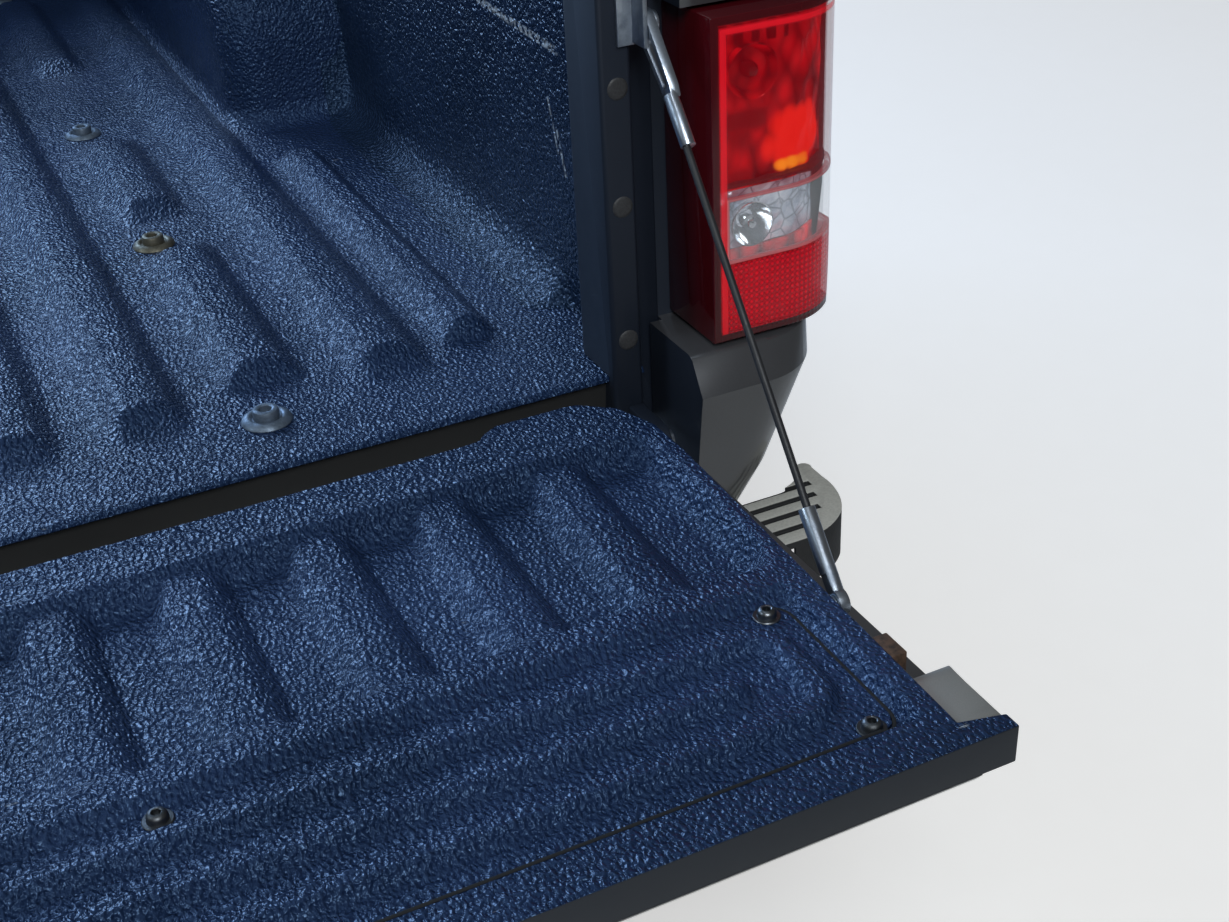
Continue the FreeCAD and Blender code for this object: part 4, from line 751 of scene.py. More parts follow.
# %% Bed floor
FLOOR_LONG, WALL, HOUSE_X, HOUSE_REAR, HOUSE_FRONT = 1840.0, 687.0, 538.0, 815.0, 1505.0
HOUSE_ROUND = 55.0
FIRST_RIB, RIB_PITCH, SHORT_RIB, BAY_RIB = 55.0, 109.5, 3, 575.0
RIB_BASE, RIB_CREST, RIB_RISE = 82.0, 26.0, 18.0
# Where the long ribs start and end, then the lengths of the fourth, then the two beside the wheelhouse
LONG_RIB = (106.0, 1800.0)
SHORT_RIBS = ((138.0, 487.0), (588.0, 861.0), (1189.0, 1591.0), (1689.0, 1800.0))
BAY_RIBS = ((128.0, 697.0), (1563.0, 1800.0))
REAR_GROOVE, GROOVE_END, LAP_SEAM, LAP_END, ROLLED_EDGE = 63.5, 497.0, 492.0, 200.0, 4.5


def floor_rule(x, y, size):
    far = x.size()
    number = ((far - size["First rib"]) / size["Pitch"]).maths("ROUND").most(0.0).least(4.0)
    middle = size["First rib"] + number * size["Pitch"]
    is_short = 1 - (number - SHORT_RIB).size().least(1.0)
    slope = (size["Base"] - size["Crest"]) / 2
    height = None
    for rear, front, short in [(*LONG_RIB, False)] + [(*ends, True) for ends in SHORT_RIBS]:
        depth = inside(far, y, middle, (rear + front) / 2, size["Base"] / 2, (front - rear) / 2, 12.0)
        rib = (depth / slope).pressed_slope() * (is_short if short else 1 - is_short)
        height = rib if height is None else height.most(rib)
    for rear, front in BAY_RIBS:
        depth = inside(far, y, BAY_RIB, (rear + front) / 2, 28.0, (front - rear) / 2, 10.0)
        height = height.most((depth / 18).pressed_slope())
    height = size["Rise"] * height
    rear_groove = groove(y - REAR_GROOVE, 4.0, 1.8) * ((GROOVE_END - far) / 6).unit()
    lap = groove(far - LAP_SEAM - (y - 66) * 0.02, 2.5, 1.6)
    lap = lap * ((LAP_END - y) / 60).unit() * ((y - 62) / 4).unit()
    rolled = (1 - y / ROLLED_EDGE).unit()
    return height + rear_groove + lap - ROLLED_EDGE * rolled * rolled


def floor():
    across = [FIRST_RIB + k * RIB_PITCH for k in range(5)] + [BAY_RIB]
    bends = [c + s * d for c in across for s in (-1, 1) for d in (RIB_CREST / 2 + 4, RIB_BASE / 2 - 4)]
    xs = lines(0, HOUSE_X, 13.0, bends, 4.4, 10.0)[:-1] + lines(HOUSE_X, WALL, 14.0, bends, 5.0, 8.0)
    xs = both_ways(xs)
    ends = [e for pair in (LONG_RIB, *SHORT_RIBS, *BAY_RIBS) for e in pair]
    bends = [e + (15 if k % 2 == 0 else -15) for k, e in enumerate(ends)]
    ys = [0.0, 0.6, 1.4, 2.6, ROLLED_EDGE]
    ys += lines(8, HOUSE_REAR, 20.0, bends + [REAR_GROOVE], 4.5, 17.0)
    ys += lines(HOUSE_REAR, HOUSE_FRONT, 26.0, bends, 5.0, 17.0)[1:]
    ys += lines(HOUSE_FRONT, FLOOR_LONG, 26.0, bends, 5.0, 17.0)[1:]
    mesh = blank("floor", xs, ys, 0.0, -4.0,
                 lambda x, y: abs(x) < HOUSE_X or not HOUSE_REAR < y < HOUSE_FRONT)
    piece = link("floor", mesh)
    pressed(piece, "bed_floor_press", {"First rib": FIRST_RIB, "Pitch": RIB_PITCH, "Base": RIB_BASE,
                                       "Crest": RIB_CREST, "Rise": RIB_RISE}, floor_rule, 0.0)
    coated(baked(piece), LINER, 60)
    placed(piece, "bed", "bed_liner", "floor_pan")


floor()

# %% [markdown]
# The tailgate's inner side has a wide shallow recess with twelve broad ribs, and a flat bay for the
# access cover. Its outline steps out at the hinges and drops back along its sides, so the grid's
# points are shifted in plan before the press. A crease runs beside the hinge edge.

# %% Tailgate, inner side
GATE_TOP, GATE_UNDER, GATE_FREE = -8.0, -38.0, -537.0
GATE_WIDE = 657.0
# The half width at places along the gate, and the hinge edge at distances from the middle
GATE_SIDE = ((-537.0, 678.0), (-524.0, 678.0), (-516.0, 646.0), (-130.0, 657.0), (-80.0, 655.0),
             (-40.0, 640.0))
HINGE_EDGE = ((0.0, -33.0), (515.0, -33.0), (530.0, -15.0), (610.0, -15.0), (640.0, -40.0))
STRAIGHT, HINGE_ROW, STEADY_ROW = 600.0, -33.0, -60.0
# Middle, half sizes and corner of the recess, then the bay for the cover, the crease and the ribs
RECESS_BOX = (0.0, -195.0, 646.0, 111.0, 30.0)
BAY_SIDE, BAY_FRONT, BAY_REAR, CREASE = 632.0, -328.0, -500.2, -65.0
GATE_PITCH = 100.8


def between(value, table):
    # Straight runs between the table's places
    last = table[0]
    for here in table:
        if value <= here[0]:
            if here[0] == last[0]:
                return here[1]
            return last[1] + (here[1] - last[1]) * (value - last[0]) / (here[0] - last[0])
        last = here
    return last[1]


def gate_shift(x, y):
    side = 1 if x > 0 else -1
    share = max(0.0, abs(x) - STRAIGHT) / (GATE_WIDE - STRAIGHT)
    if y > STEADY_ROW:
        edge = between(min(abs(x), STRAIGHT + share * 40.0), HINGE_EDGE)
        y = STEADY_ROW + (y - STEADY_ROW) * (edge - STEADY_ROW) / (HINGE_ROW - STEADY_ROW)
    if share:
        x = side * (STRAIGHT + share * (between(y, GATE_SIDE) - STRAIGHT))
    return x, y


def gate_rule(x, y, size):
    sunk = (inside(x, y, *RECESS_BOX) / 19).eased()
    number = (x / size["Pitch"] - 0.5).maths("ROUND").most(-6.0).least(5.0)
    middle = (number + 0.5) * size["Pitch"]
    rib = ((size["Rib base"] / 2 - (x - middle).size()) / 15).pressed_slope()
    recess = (-size["Recess"] * sunk).most(-size["Recess"] + size["Rib rise"] * rib)
    far = x.size()
    bay = ((BAY_SIDE - far) / 8).least((BAY_FRONT - y) / 9).least((y - BAY_REAR) / 1.6).eased()
    crease = groove(y - CREASE, 3.0, 1.5) * ((606 - far) / 5).unit()
    return recess - size["Bay"] * bay + crease


def gate_inner():
    ribs = [(k + 0.5) * GATE_PITCH for k in range(6)]
    bends = [r + s * 22 for r in ribs for s in (-1, 1)] + [629.0, 640.0]
    xs = both_ways(lines(0, GATE_WIDE, 15.0, bends, 3.0, 10.0))
    bends = [-510.0, -330.0, -294.0, -96.0, CREASE]
    ys = lines(GATE_FREE, HINGE_ROW, 14.0, bends, 3.2, 13.0)
    ys = sorted(ys + [BAY_REAR, -498.6, STEADY_ROW, -524.0, -516.0])
    ys = [y for k, y in enumerate(ys) if k == 0 or y - ys[k - 1] > 0.4]
    piece = link("gate_inner", blank("gate_inner", xs, ys, GATE_TOP, GATE_UNDER, shift=gate_shift))
    sizes = {"Pitch": GATE_PITCH, "Rib base": 60.0, "Rib rise": 15.0, "Recess": 20.5, "Bay": 10.5}
    pressed(piece, "gate_press", sizes, gate_rule, GATE_TOP)
    bevelled(piece, 7.5, 4, 70)
    piece.data.materials.append(LINER)
    piece.data.materials.append(EDGE_COAT)
    # The spray stops at the rounded free edge, and the face beyond it is painted
    edge_y = at(0, GATE_FREE + 5, 0).y
    for face in piece.data.polygons:
        face.material_index = int(face.center.y < edge_y and face.normal.y < -0.8)
    placed(piece, "tailgate", "bed_liner", "tailgate_inner")


gate_inner()

# %% [markdown]
# The access cover is a thin plate with a long closed bead round it and a straight bead in the
# middle. Both are lines at a fixed distance inside a rounded box, so the same rule makes them.

# %% Access cover
COVER_HALF, COVER_REAR, COVER_FRONT, COVER_TOP = 619.0, -497.0, -340.0, -16.0
COVER_CORNER, COVER_THICK = 20.0, 2.5
# Middle, half sizes and corner of the long bead and of the straight one
BEAD_RING = (0.0, -413.0, 593.0, 44.0, 24.0)
BEAD_BAR = (0.0, -413.0, 555.0, 13.0, 12.5)


def cover_shift(x, y):
    # Draws the ends of the grid in, so that the corners are round
    straight = COVER_HALF - COVER_CORNER
    short = max(0.0, COVER_CORNER - min(y - COVER_REAR, COVER_FRONT - y))
    share = (COVER_CORNER ** 2 - short ** 2) ** 0.5 / COVER_CORNER
    over = abs(x) - straight
    if over > 0:
        x = (1 if x > 0 else -1) * (straight + over * share)
    return x, y


def cover_rule(x, y, size):
    ring = inside(x, y, *BEAD_RING).size()
    bar = inside(x, y, *BEAD_BAR)
    bead = ((size["Bead"] / 2 - ring) / 8).pressed_slope().most((bar / 8).pressed_slope())
    return size["Rise"] * bead


def cover():
    bends = [542.0, 550.0, 567.0, 580.0, 592.0, 604.0]
    xs = both_ways(lines(0, COVER_HALF, 30.0, bends, 2.6, 10.0))
    bends = [BEAD_RING[1] + d for d in (-57, -44, -31, -13, 0, 13, 31, 44, 57)]
    ys = lines(COVER_REAR, COVER_FRONT, 8.0, bends, 2.4, 8.0)
    plate = blank("gate_cover", xs, ys, COVER_TOP, COVER_TOP - COVER_THICK, shift=cover_shift)
    piece = link("gate_cover", plate)
    pressed(piece, "cover_press", {"Bead": 26.0, "Rise": 7.5}, cover_rule, COVER_TOP)
    coated(baked(piece), LINER, 50)
    placed(piece, "tailgate", "bed_liner", "access_cover")


cover()

# %% [markdown]
# Screws, bolts and plugs are the same piece again and again. Each is turned once from its half
# outline, with a hexagon where it takes a key, and Geometry Nodes set it on every point of a row of
# places. Instances are made real at the end, because the export has no instances.

# %% Turned pieces, repeated


def bridged(rings, count):
    # Faces from each ring of points to the next, with both ends closed
    faces = []
    for r in range(rings - 1):
        for k in range(count):
            a, b = r * count + k, r * count + (k + 1) % count
            faces.append((a, b, b + count, a + count))
    faces.append(tuple(reversed(range(count))))
    faces.append(tuple(range((rings - 1) * count, rings * count)))
    return faces


def turned(name, profile, steps=32):
    # Radius and height from the foot to the top. A third value makes the ring a hexagon.
    points = []
    for ring in profile:
        for k in range(steps):
            turn = 2 * pi * k / steps
            radius = ring[0]
            if len(ring) > 2:
                radius *= cos(pi / 6) / cos(turn % (pi / 3) - pi / 6)
            points.append((radius * cos(turn) / 1000, radius * sin(turn) / 1000, ring[1] / 1000))
    mesh = raw_mesh(name, points, [], bridged(len(profile), steps))
    mesh.shade_smooth()
    mesh.set_sharp_from_angle(angle=radians(35))
    return mesh


def repeated(name, pattern, places, finish, turn=(0.0, 0.0, 0.0), scale=1.0):
    row = Recipe(name + "_row", {"Places": "Geometry", "Pattern": "Object", "Turn": "Vector",
                                 "Scale": "Float", "Finish": "Material"}, "Row")
    given = row.given
    dots = row.node("GeometryNodeMeshToPoints", {}, {"Mesh": given["Places"]})
    shape = row.node("GeometryNodeObjectInfo", {}, {"Object": given["Pattern"]}, "Geometry")
    inputs = {"Points": dots, "Instance": shape, "Rotation": given["Turn"], "Scale": given["Scale"]}
    many = row.node("GeometryNodeInstanceOnPoints", {}, inputs)
    real = row.node("GeometryNodeRealizeInstances", {}, {"Geometry": many})
    inputs = {"Geometry": real, "Material": given["Finish"]}
    row.lead_out(row.node("GeometryNodeSetMaterial", {}, inputs))
    piece = link(name, raw_mesh(name, [at(*p) for p in places], [], []))
    form = link(name + "_form", pattern)
    row.set_on(piece, {"Pattern": form, "Turn": turn, "Scale": scale, "Finish": finish})
    baked(piece)
    bpy.data.objects.remove(form)
    return piece


BED_BOLT = ((0.01, -98), (5.2, -98), (6, -97), (6, -64), (8, -64), (8, -0.5), (21.5, -0.5), (22, 0.6),
            (21, 2.6), (17.5, 4.9), (15.2, 5.2), (13.6, 4.4), (12.6, 3.0), (11.4, 3.0), (11.4, 9.4),
            (10.6, 11.3), (9.0, 12.0), (7.0, 12.0), (6.2, 11.2, 6), (6.0, 5.2, 6), (0.01, 5.0))
BOLT_X = 367.0
BOLT_ROWS = {"bolts_bright": (BOLT_ZINC, (80.0, 915.0, 1640.0)),
             "bolts_yellowed": (OLIVE_ZINC, (515.0,))}
for name, (finish, rows) in BOLT_ROWS.items():
    spots = [(side * BOLT_X, y, 0.0) for side in (-1, 1) for y in rows]
    bolts = repeated(name, turned(name + "_form", BED_BOLT), spots, finish)
    placed(bolts, "bed", "zinc", *(("bed_bolts",) if name == "bolts_bright" else ()))

COVER_SCREW = ((0.01, -0.4), (10.0, -0.4), (10.2, 0.5), (9.6, 1.1), (7.3, 1.2), (7.0, 1.9), (6.9, 4.0),
               (6.1, 5.8), (4.6, 6.8), (3.6, 7.0), (3.3, 6.6, 6), (3.2, 3.0, 6), (0.01, 2.8))
SCREW_SPOTS = ((175.0, -348.0), (604.0, -351.0), (601.0, -487.0), (175.0, -488.0))
spots = [(side * x, y, COVER_TOP) for side in (-1, 1) for x, y in SCREW_SPOTS]
screws = repeated("cover_screws_turned", turned("screw_form", COVER_SCREW), spots, DARK_STEEL)
placed(screws, "tailgate", "dark_steel", "cover_screws")

JAMB_PLUG = ((0.01, -0.6), (9.2, -0.6), (9.2, 0.2), (8.6, 0.8), (6.5, 1.2), (3.0, 1.5), (0.01, 1.6))
JAMB_X, JAMB_FACE, FACING_REAR = 667.0, -12.0, (pi / 2, 0.0, 0.0)
spots = [(side * JAMB_X, JAMB_FACE, z) for side in (-1, 1) for z in (260.0, 160.0, 38.0)]
plugs = repeated("jamb_plugs", turned("plug_form", JAMB_PLUG), spots, TRIM_PLASTIC, FACING_REAR)
placed(plugs, "bed", "trim_plastic")

# %% [markdown]
# Strips that follow a line, such as the rounded foot where the wheelhouse meets the floor, or the
# bead of sealer in the lamp channel, are one section swept along a path. Curve to Mesh does this,
# with its normals kept upright. The section is given as distance to the right and distance down.

# %% Swept strips


def faced_out(mesh, join=None):
    # All faces turned outward, after points closer than join have become one
    work = bmesh.new()
    work.from_mesh(mesh)
    if join:
        bmesh.ops.remove_doubles(work, verts=work.verts, dist=join)
    bmesh.ops.recalc_face_normals(work, faces=work.faces)
    work.to_mesh(mesh)
    work.free()
    return mesh


def swept(name, path, section, finish, body, slot):
    sweep = Recipe(name + "_sweep", {"Path": "Geometry", "Section": "Object", "Size": "Float",
                                     "Finish": "Material"}, "Strip")
    given = sweep.given
    route = sweep.node("GeometryNodeMeshToCurve", {}, {"Mesh": given["Path"]})
    upright = sweep.node("GeometryNodeSetCurveNormal", {"mode": "Z_UP"}, {"Curve": route})
    outline = sweep.node("GeometryNodeObjectInfo", {}, {"Object": given["Section"]}, "Geometry")
    outline = sweep.node("GeometryNodeMeshToCurve", {}, {"Mesh": outline})
    inputs = {"Curve": upright, "Profile Curve": outline, "Scale": given["Size"], "Fill Caps": True}
    strip = sweep.node("GeometryNodeCurveToMesh", {}, inputs)
    inputs = {"Geometry": strip, "Material": given["Finish"]}
    sweep.lead_out(sweep.node("GeometryNodeSetMaterial", {}, inputs))
    steps = [(k, k + 1) for k in range(len(path) - 1)]
    piece = link(name, raw_mesh(name, [at(*p) for p in path], steps, []))
    sides = [(k, (k + 1) % len(section)) for k in range(len(section))]
    ring = [(a / 1000, b / 1000, 0) for a, b in section]
    form = link(name + "_section", raw_mesh(name + "_section", ring, sides, []))
    sweep.set_on(piece, {"Section": form, "Size": 1.0, "Finish": finish})
    baked(piece)
    bpy.data.objects.remove(form)
    faced_out(piece.data, 0.000001)
    piece.data.shade_smooth()
    piece.data.set_sharp_from_angle(angle=radians(50))
    placed(piece, body, slot)


def turn_in_plan(middle_x, middle_y, radius, start, end, z, steps=8):
    turns = [radians(start + (end - start) * k / steps) for k in range(steps + 1)]
    return [(middle_x + radius * cos(turn), middle_y + radius * sin(turn), z) for turn in turns]


def foot_section(radius, sunk=2.0, steps=8):
    # A hollow curve between a wall on the left and a floor below
    turns = [radians(90 * k / steps) for k in range(steps + 1)]
    curve = [(radius * (1 - sin(turn)), -radius * (1 - cos(turn))) for turn in turns]
    return [(-sunk, sunk), (radius, sunk)] + curve + [(-sunk, -radius)]


def mirrored_path(path, side):
    return [(side * x, y, z) for x, y, z in (path if side > 0 else reversed(path))]


for side, word in SIDES:
    turn_x = HOUSE_X + HOUSE_ROUND
    foot = [(WALL + 1, HOUSE_REAR, 0.0)]
    foot += turn_in_plan(turn_x, HOUSE_REAR + HOUSE_ROUND, HOUSE_ROUND, 270, 180, 0.0)
    foot += turn_in_plan(turn_x, HOUSE_FRONT - HOUSE_ROUND, HOUSE_ROUND, 180, 90, 0.0)
    foot += [(WALL + 1, HOUSE_FRONT, 0.0)]
    section = [(-a, b) for a, b in reversed(foot_section(26.0))]
    swept("wheelhouse_foot_" + word, mirrored_path(foot, side), section, LINER, "bed", "bed_liner")
    tube = [(688.5, 15.0, 186.0), (688.5, 15.0, 150.0), (687.0, 15.0, 60.0), (688.0, 15.5, 2.0)]
    ring = [(2.6 * cos(pi * k / 5), 2.6 * sin(pi * k / 5)) for k in range(10)]
    swept("channel_sealer_" + word, mirrored_path(tube, side), ring, ZINC, "bed", "zinc")

# A black strip swept along the cover's edge is painted shadow in the gap. It lies in the bay, and at
# the free edge on the lip above it
GAP, GAP_LOW, LIP_RISE, LIP_OUT = 1.6, -17.6, 8.8, 0.9
gap_rear, gap_front, gap_turn = COVER_REAR - GAP, COVER_FRONT + GAP, COVER_CORNER + GAP
turn_x = COVER_HALF + GAP - gap_turn
edge_line = [(0.0, gap_rear - LIP_OUT, GAP_LOW + LIP_RISE)]
for k, (x, y, z) in enumerate(turn_in_plan(turn_x, gap_rear + gap_turn, gap_turn, 270, 360, GAP_LOW)):
    on_lip = max(0.0, 1 - k / 4)
    edge_line.append((x, y - LIP_OUT * on_lip, z + LIP_RISE * on_lip))
edge_line += turn_in_plan(turn_x, gap_front - gap_turn, gap_turn, 0, 90, GAP_LOW)
edge_line.append((0.0, gap_front, GAP_LOW))
for side, word in SIDES:
    strip = [(-1.3, 1.4), (1.3, 1.4), (1.3, -1.0), (0.0, -1.5), (-1.3, -1.0)]
    path = mirrored_path(edge_line, side)
    swept("cover_gap_" + word, path, strip, GAP_SHADOW_PAINT, "tailgate", "trim_plastic")

# %% [markdown]
# The spray on the side walls is a skin over the steel, with a rounded foot where it runs down on to
# the floor. Sections are drawn at places along the bed and joined: the foot starts near the pillar
# with a flat cut, and rises over the wheelhouse. Each section is a closed loop, so the skin is a
# closed shell.

# %% Wall liners
RAIL_UNDER, WALL_REAR, WALL_FRONT = 405.0, 94.0, 1826.0


def over_house(runs):
    # What happens behind the wheelhouse's middle happens in front of it the other way round
    return (*runs, *((HOUSE_REAR + HOUSE_FRONT - y, value) for y, value in reversed(runs)))


# The foot's radius and its height above the floor, at places along the bed
FOOT_RADIUS = ((WALL_REAR, 1.5), (140.0, 2.0), (166.0, 42.0),
               *over_house(((770.0, 42.0), (800.0, 34.0), (965.0, 22.0))), (WALL_FRONT, 42.0))
FOOT_HEIGHT = ((WALL_REAR, 0.0),
               *over_house(((786.0, 0.0), (800.0, 6.0), (812.0, 40.0), (818.0, 92.0), (828.0, 128.0),
                            (850.0, 168.0), (880.0, 200.0), (915.0, 222.0), (965.0, 232.0))),
               (WALL_FRONT, 0.0))
WALL_BENDS = (140.0, 153.0, 166.0, 790.0, 812.0, 840.0, 880.0, 1440.0, 1480.0, 1508.0, 1530.0)


def joined_sections(name, sections):
    # Closed loops of equal length, joined one to the next, with both ends closed
    points = [p for loop in sections for p in loop]
    faces = bridged(len(sections), len(sections[0]))
    return faced_out(mesh_of(name, points, faces))


def wall_section(y, side):
    radius, low = between(y, FOOT_RADIUS), between(y, FOOT_HEIGHT)
    face = WALL - 1.0
    curve = []
    for k in range(9):
        turn = radians(90 * k / 8)
        curve.append((face - radius * (1 - sin(turn)), low + 0.4 + radius * (1 - cos(turn))))
    rise = [(face, low + radius + (RAIL_UNDER - low - radius) * k / 5) for k in range(1, 6)]
    back = [(WALL + 1.0, RAIL_UNDER), (WALL + 1.0, low - 2.0), (face - radius, low - 2.0)]
    return [(side * x, y, z) for x, z in curve + rise + back]


for side, word in SIDES:
    stops = lines(WALL_REAR, WALL_FRONT, 60.0, WALL_BENDS, 6.0, 14.0)
    shell = joined_sections("wall_liner", [wall_section(y, side) for y in stops])
    skin = link("wall_liner_" + word, shell)
    coated(skin, WALL_LINER_SHADED, 50)
    placed(skin, "bed", "bed_liner")

# %% [markdown]
# The cable is one straight length from its ferrule to the sleeve at the gate. In the model it folds
# at two places, so here it is two round rods that meet at the upper fold. The eye, ferrule and sleeve
# are softened solids.

# %% Cables
CABLE_TOP, CABLE_FOOT = Vector((688.0, -23.0, 312.0)), Vector((668.0, -345.0, -30.0))
CABLE_LONG, CABLE_RADIUS, CABLE_SIDES, HALF_BEND = 469.7, 3.1, 14, 9.0
UPPER_SHARE, LOWER_SHARE = 253.8 / CABLE_LONG, 279.8 / CABLE_LONG
FERRULE_SHARE, SLEEVE_SHARE = 103.0 / CABLE_LONG, 1 - 70.0 / CABLE_LONG


def cable_rod(name, start, end, steps, side):
    run = end - start
    side_way = run.cross(Vector((1, 0, 0))).normalized()
    up_way = run.cross(side_way).normalized()
    # Both ends are rounded off like a ball
    ball = [(sin(radians(a)), cos(radians(a))) for a in (20, 45, 68, 84)]
    reach = CABLE_RADIUS / run.length
    stops = [(-reach * out, width) for out, width in reversed(ball)]
    stops += [(k / steps, 1.0) for k in range(steps + 1)]
    stops += [(1 + reach * out, width) for out, width in ball]
    turns = [2 * pi * k / CABLE_SIDES for k in range(CABLE_SIDES)]
    ways = [side_way * cos(turn) + up_way * sin(turn) for turn in turns]
    loops = [[start + run * share + CABLE_RADIUS * width * way for way in ways]
             for share, width in stops]
    loops = [[(side * p.x, p.y, p.z) for p in loop] for loop in loops]
    rod = link(name, joined_sections(name, loops))
    rod.data.materials.append(CABLE_BLACK)
    return rod


for side, word in SIDES:
    on_cable = {share: CABLE_TOP.lerp(CABLE_FOOT, share) for share in
                (FERRULE_SHARE, UPPER_SHARE, LOWER_SHARE, SLEEVE_SHARE)}
    rod = cable_rod("cable_top_" + word, on_cable[FERRULE_SHARE], on_cable[UPPER_SHARE], 12, side)
    placed(rod, "upper_cable_" + word, "cable_black", "cable_upper_" + word)
    rod = cable_rod("cable_foot_" + word, on_cable[UPPER_SHARE], on_cable[SLEEVE_SHARE], 46, side)
    fold = on_cable[LOWER_SHARE]
    half_bend = (CABLE_FOOT - CABLE_TOP).normalized() * HALF_BEND
    ends = [at(side * p.x, p.y, p.z) for p in (fold - half_bend, fold + half_bend)]
    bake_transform(rod)
    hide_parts("cable_bend_" + word, "cable_lower_" + word)
    print(rod.name, "bends between the fold and the lower length")

# %% [markdown]
# Behind the red shell sits a bright faceted reflector, and the bulbs stand in round bowls in it. The
# reflector is a plate with a gentle wave, cut round the clear window, where a chrome tray carries
# the reversing bulb.

# %% Inside the lamps
BOWL = ((7.0, 0.0), (9.0, -1.0), (15.0, -6.0), (20.0, -14.0), (22.0, -20.0), (23.0, -20.5),
        (23.2, -19.0), (21.5, -11.0), (16.5, -3.0), (9.5, 2.2), (7.0, 2.4))
BULB = ((0.01, 2.0), (6.0, 2.0), (6.4, -3.0), (7.2, -8.0), (7.4, -13.0), (6.4, -17.5), (4.0, -20.5),
        (0.01, -21.6))
# Place, scale and finishes of each bowl and its bulb, and the solids that they stand for
BULB_SPOTS = (
    ("stop_bulb", 766.0, 268.0, 1.0, REFLECTOR, BULB_RED, ("lamp_bowls_right", "lamp_bowls_left")),
    ("reversing_bulb", 767.0, 137.0, 0.85, CHROME, CHROME, ()),
)
BOWL_BACK, FACING_LENS = 9.0, (-pi / 2, 0.0, 0.0)


def lamp_depth(x):
    # Where the plate stands behind the lens, which turns forward round the corner
    turn = max(0.0, x - 800.0)
    return -44.0 + 0.0098 * turn * turn


def waved_plate(name, xs, zs, side, back, ripple, finish):
    sections = []
    for x in xs:
        face = lamp_depth(x) + back
        front = [(side * x, face + ripple * cos(x * 0.22) * cos(z * 0.16), z) for z in zs]
        sections.append(front + [(side * x, face + 4.0, z) for z in reversed(zs)])
    plate = link(name, joined_sections(name, sections))
    coated(plate, finish, 50)
    placed(plate, "bed", "lamp_bright")


for side, word in SIDES:
    xs = lines(LAMP_X + 5, 852.0, 4.0)
    zs = lines(WINDOW_HIGH + 2, LAMP_HIGH - 6, 5.0)
    waved_plate("reflector_upper_" + word, xs, zs, side, 0.0, 1.6, REFLECTOR)
    zs = lines(LAMP_LOW + 5, WINDOW_LOW - 3, 5.0)
    waved_plate("reflector_lower_" + word, xs, zs, side, 6.0, 0.6, REFLECTOR)
    xs = lines(WINDOW_X + 1, 854.0, 3.5)
    zs = lines(WINDOW_LOW - 1, WINDOW_HIGH + 1, 3.5)
    waved_plate("reversing_tray_" + word, xs, zs, side, 8.0, 1.2, TRAY)

for name, x, z, scale, bowl_finish, bulb_finish, nodes in BULB_SPOTS:
    spots = [(side * x, lamp_depth(x) + BOWL_BACK, z) for side in (-1, 1)]
    rings = turned(name + "_ring", BOWL)
    rings.flip_normals()
    bowls = repeated(name + "_bowl", rings, spots, bowl_finish, FACING_LENS, scale)
    placed(bowls, "bed", "lamp_bright", *nodes)
    glass = turned(name + "_glass", BULB, 24)
    glass.flip_normals()
    placed(repeated(name, glass, spots, bulb_finish, FACING_LENS, scale), "bed", "lamp_bright")

# %% [markdown]
# Most solids are already the right shape, but their edges are knife sharp, and no real edge is. This
# helper copies a solid, joins its loose triangles, softens each edge with a small bevel and shades
# the round parts smooth. The copy then stands for the CAD solid. On four of them, some faces take a
# second finish by their place.

# %% Soften a solid


def softened(node, finish, edge, finish_for=None):
    work = bmesh.new()
    work.from_mesh(frame["nodes"][node].data)
    bmesh.ops.remove_doubles(work, verts=work.verts, dist=0.00002)
    bmesh.ops.dissolve_limit(work, angle_limit=radians(0.6), verts=work.verts, edges=work.edges)
    mesh = bpy.data.meshes.new(node + "_soft")
    work.to_mesh(mesh)
    work.free()
    piece = link(node + "_soft", mesh)
    if edge:
        bevelled(piece, edge, 2, 32)
    piece.data.materials.clear()
    piece.data.shade_smooth()
    coated(piece, finish, 40)
    if finish_for:
        finish_for(piece.data)
    placed(piece, rides_on[node], frame["nodes"][node].data.materials[0].name, node)


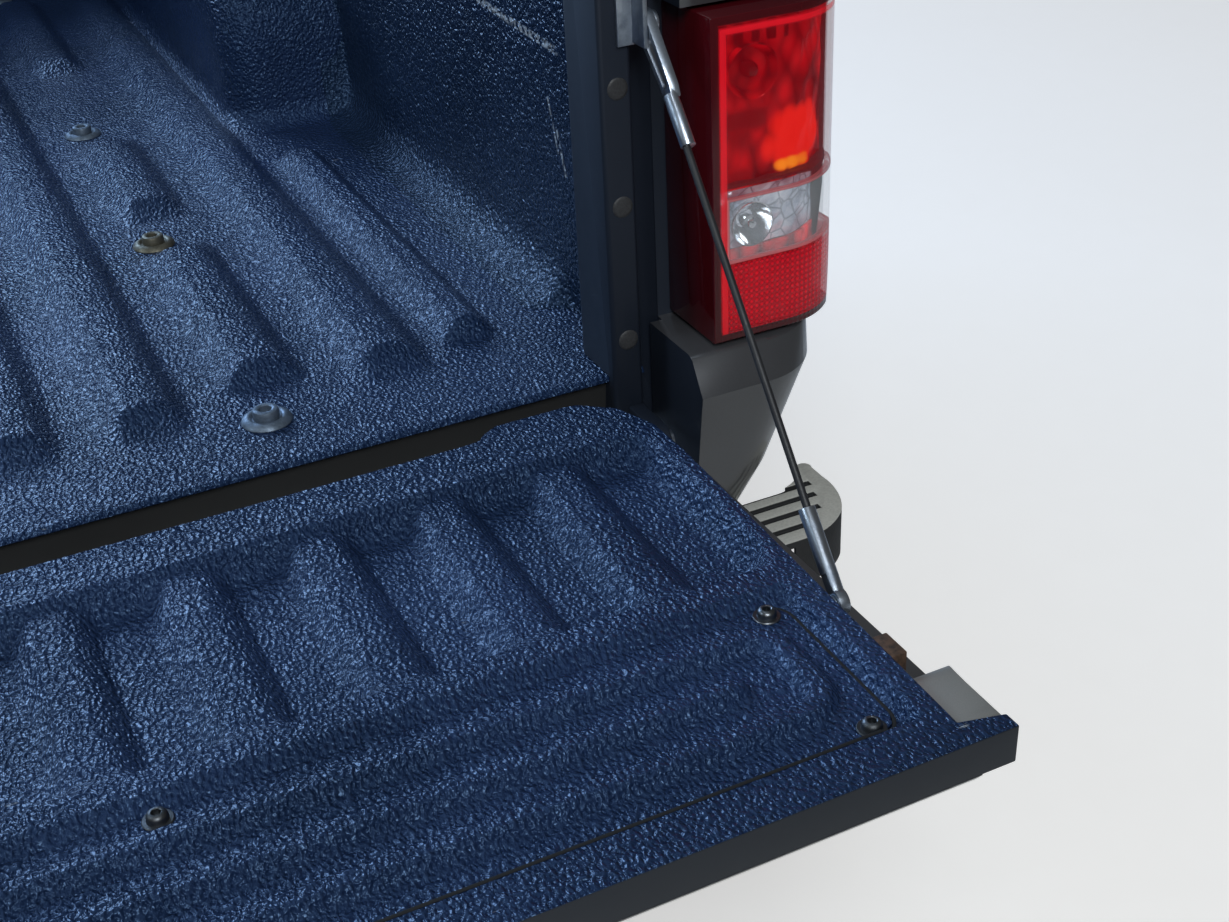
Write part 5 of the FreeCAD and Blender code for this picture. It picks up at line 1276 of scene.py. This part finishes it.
# Each solid with its finish and the size of its softened edges
PLAIN = (
    ("cross_sills", UNDERBODY, 2.0), ("bumper_brackets", UNDERBODY, 1.0),
    ("bumper_bar", BUMPER_PAINT, 1.2), ("front_panel", LINER, 3.0),
    ("bumper_pad_centre", STEP_PLASTIC, 1.2), ("blank_plate", PLATE_WHITE, 0.8),
    ("tailgate_handle", TRIM_PLASTIC, 1.0), ("hinge_pins", ZINC, 0.8), ("cable_studs", ZINC, 0.8),
    ("fuel_hinge", ZINC, 0.3), ("fuel_cap", TRIM_PLASTIC, 1.0), ("fuel_door", BODY_PAINT, 0.6),
    ("tailgate_outer", BODY_PAINT, 1.5),
)
SIDED = (
    ("bedside", BODY_PAINT, 2.0), ("rear_pillar", PILLAR_COAT, 2.0), ("wheelhouse", LINER, 0.0),
    ("hinge_bracket", PILLAR_COAT, 1.0), ("cable_anchor", ZINC, 0.8), ("bumper_pad", STEP_PLASTIC, 1.2),
    ("lamp_housing", TRIM_PLASTIC, 0.5), ("lamp_window", LAMP_CLEAR, 0.8),
    ("lamp_lens", LAMP_RED, 1.0), ("latch", RUST, 1.0), ("cable_eye", ZINC, 2.0),
    ("cable_sleeve", ZINC, 1.2),
)


def skin_edge_sunlit(mesh):
    # The free corners of the outer skin are drawn in a little, and painted pale grey and a little less
    # glossy as sunlight on the corner
    mesh.materials.append(SUNLIT_SKIN)
    free, inner, outer, taper = at(0, -490, 0).y, 0.66, 0.691, 0.32
    for corner in mesh.vertices:
        if corner.co.y < free and abs(corner.co.x) > inner:
            limit = outer - taper * (free - corner.co.y)
            corner.co.x = max(-limit, min(limit, corner.co.x))
    rear, high, wide = at(0, -430, 0).y, at(0, 0, -46).z, 0.641
    for face in mesh.polygons:
        place = face.center
        face.material_index = int(abs(place.x) > wide and place.y < rear and place.z > high)


def corner_inside_painted_shade(mesh):
    # The faces beside the channel take the dark pillar coat as painted shade
    mesh.materials.append(PILLAR_COAT)
    inner, rear, lamp_wall, high = 0.725, at(0, 43, 0).y, at(0, 20, 0).y, at(0, 0, 36).z
    for face in mesh.polygons:
        x, y, z = face.center
        hidden = abs(x) < inner and y < rear and face.normal.z < 0.7
        faces_in = face.normal.x * x < -0.3 * abs(x)
        behind_lamp = face.normal.y < -0.9 and abs(y - lamp_wall) < 0.002
        face.material_index = int(behind_lamp or hidden and (faces_in or z > high))


def outside_painted(mesh):
    # The spray covers the side toward the load, and the side toward the cab is painted
    mesh.materials.append(UNDERBODY)
    for face in mesh.polygons:
        face.material_index = int(face.normal.y > 0.5)


BY_PLACE = {"tailgate_outer": skin_edge_sunlit, "front_panel": outside_painted,
            "bedside_right": corner_inside_painted_shade, "bedside_left": corner_inside_painted_shade}
for node, finish, edge in PLAIN:
    softened(node, finish, edge, finish_for=BY_PLACE.get(node))
for node, finish, edge in SIDED:
    for side in ("right", "left"):
        whole = node + "_" + side
        softened(whole, finish, edge, finish_for=BY_PLACE.get(whole))
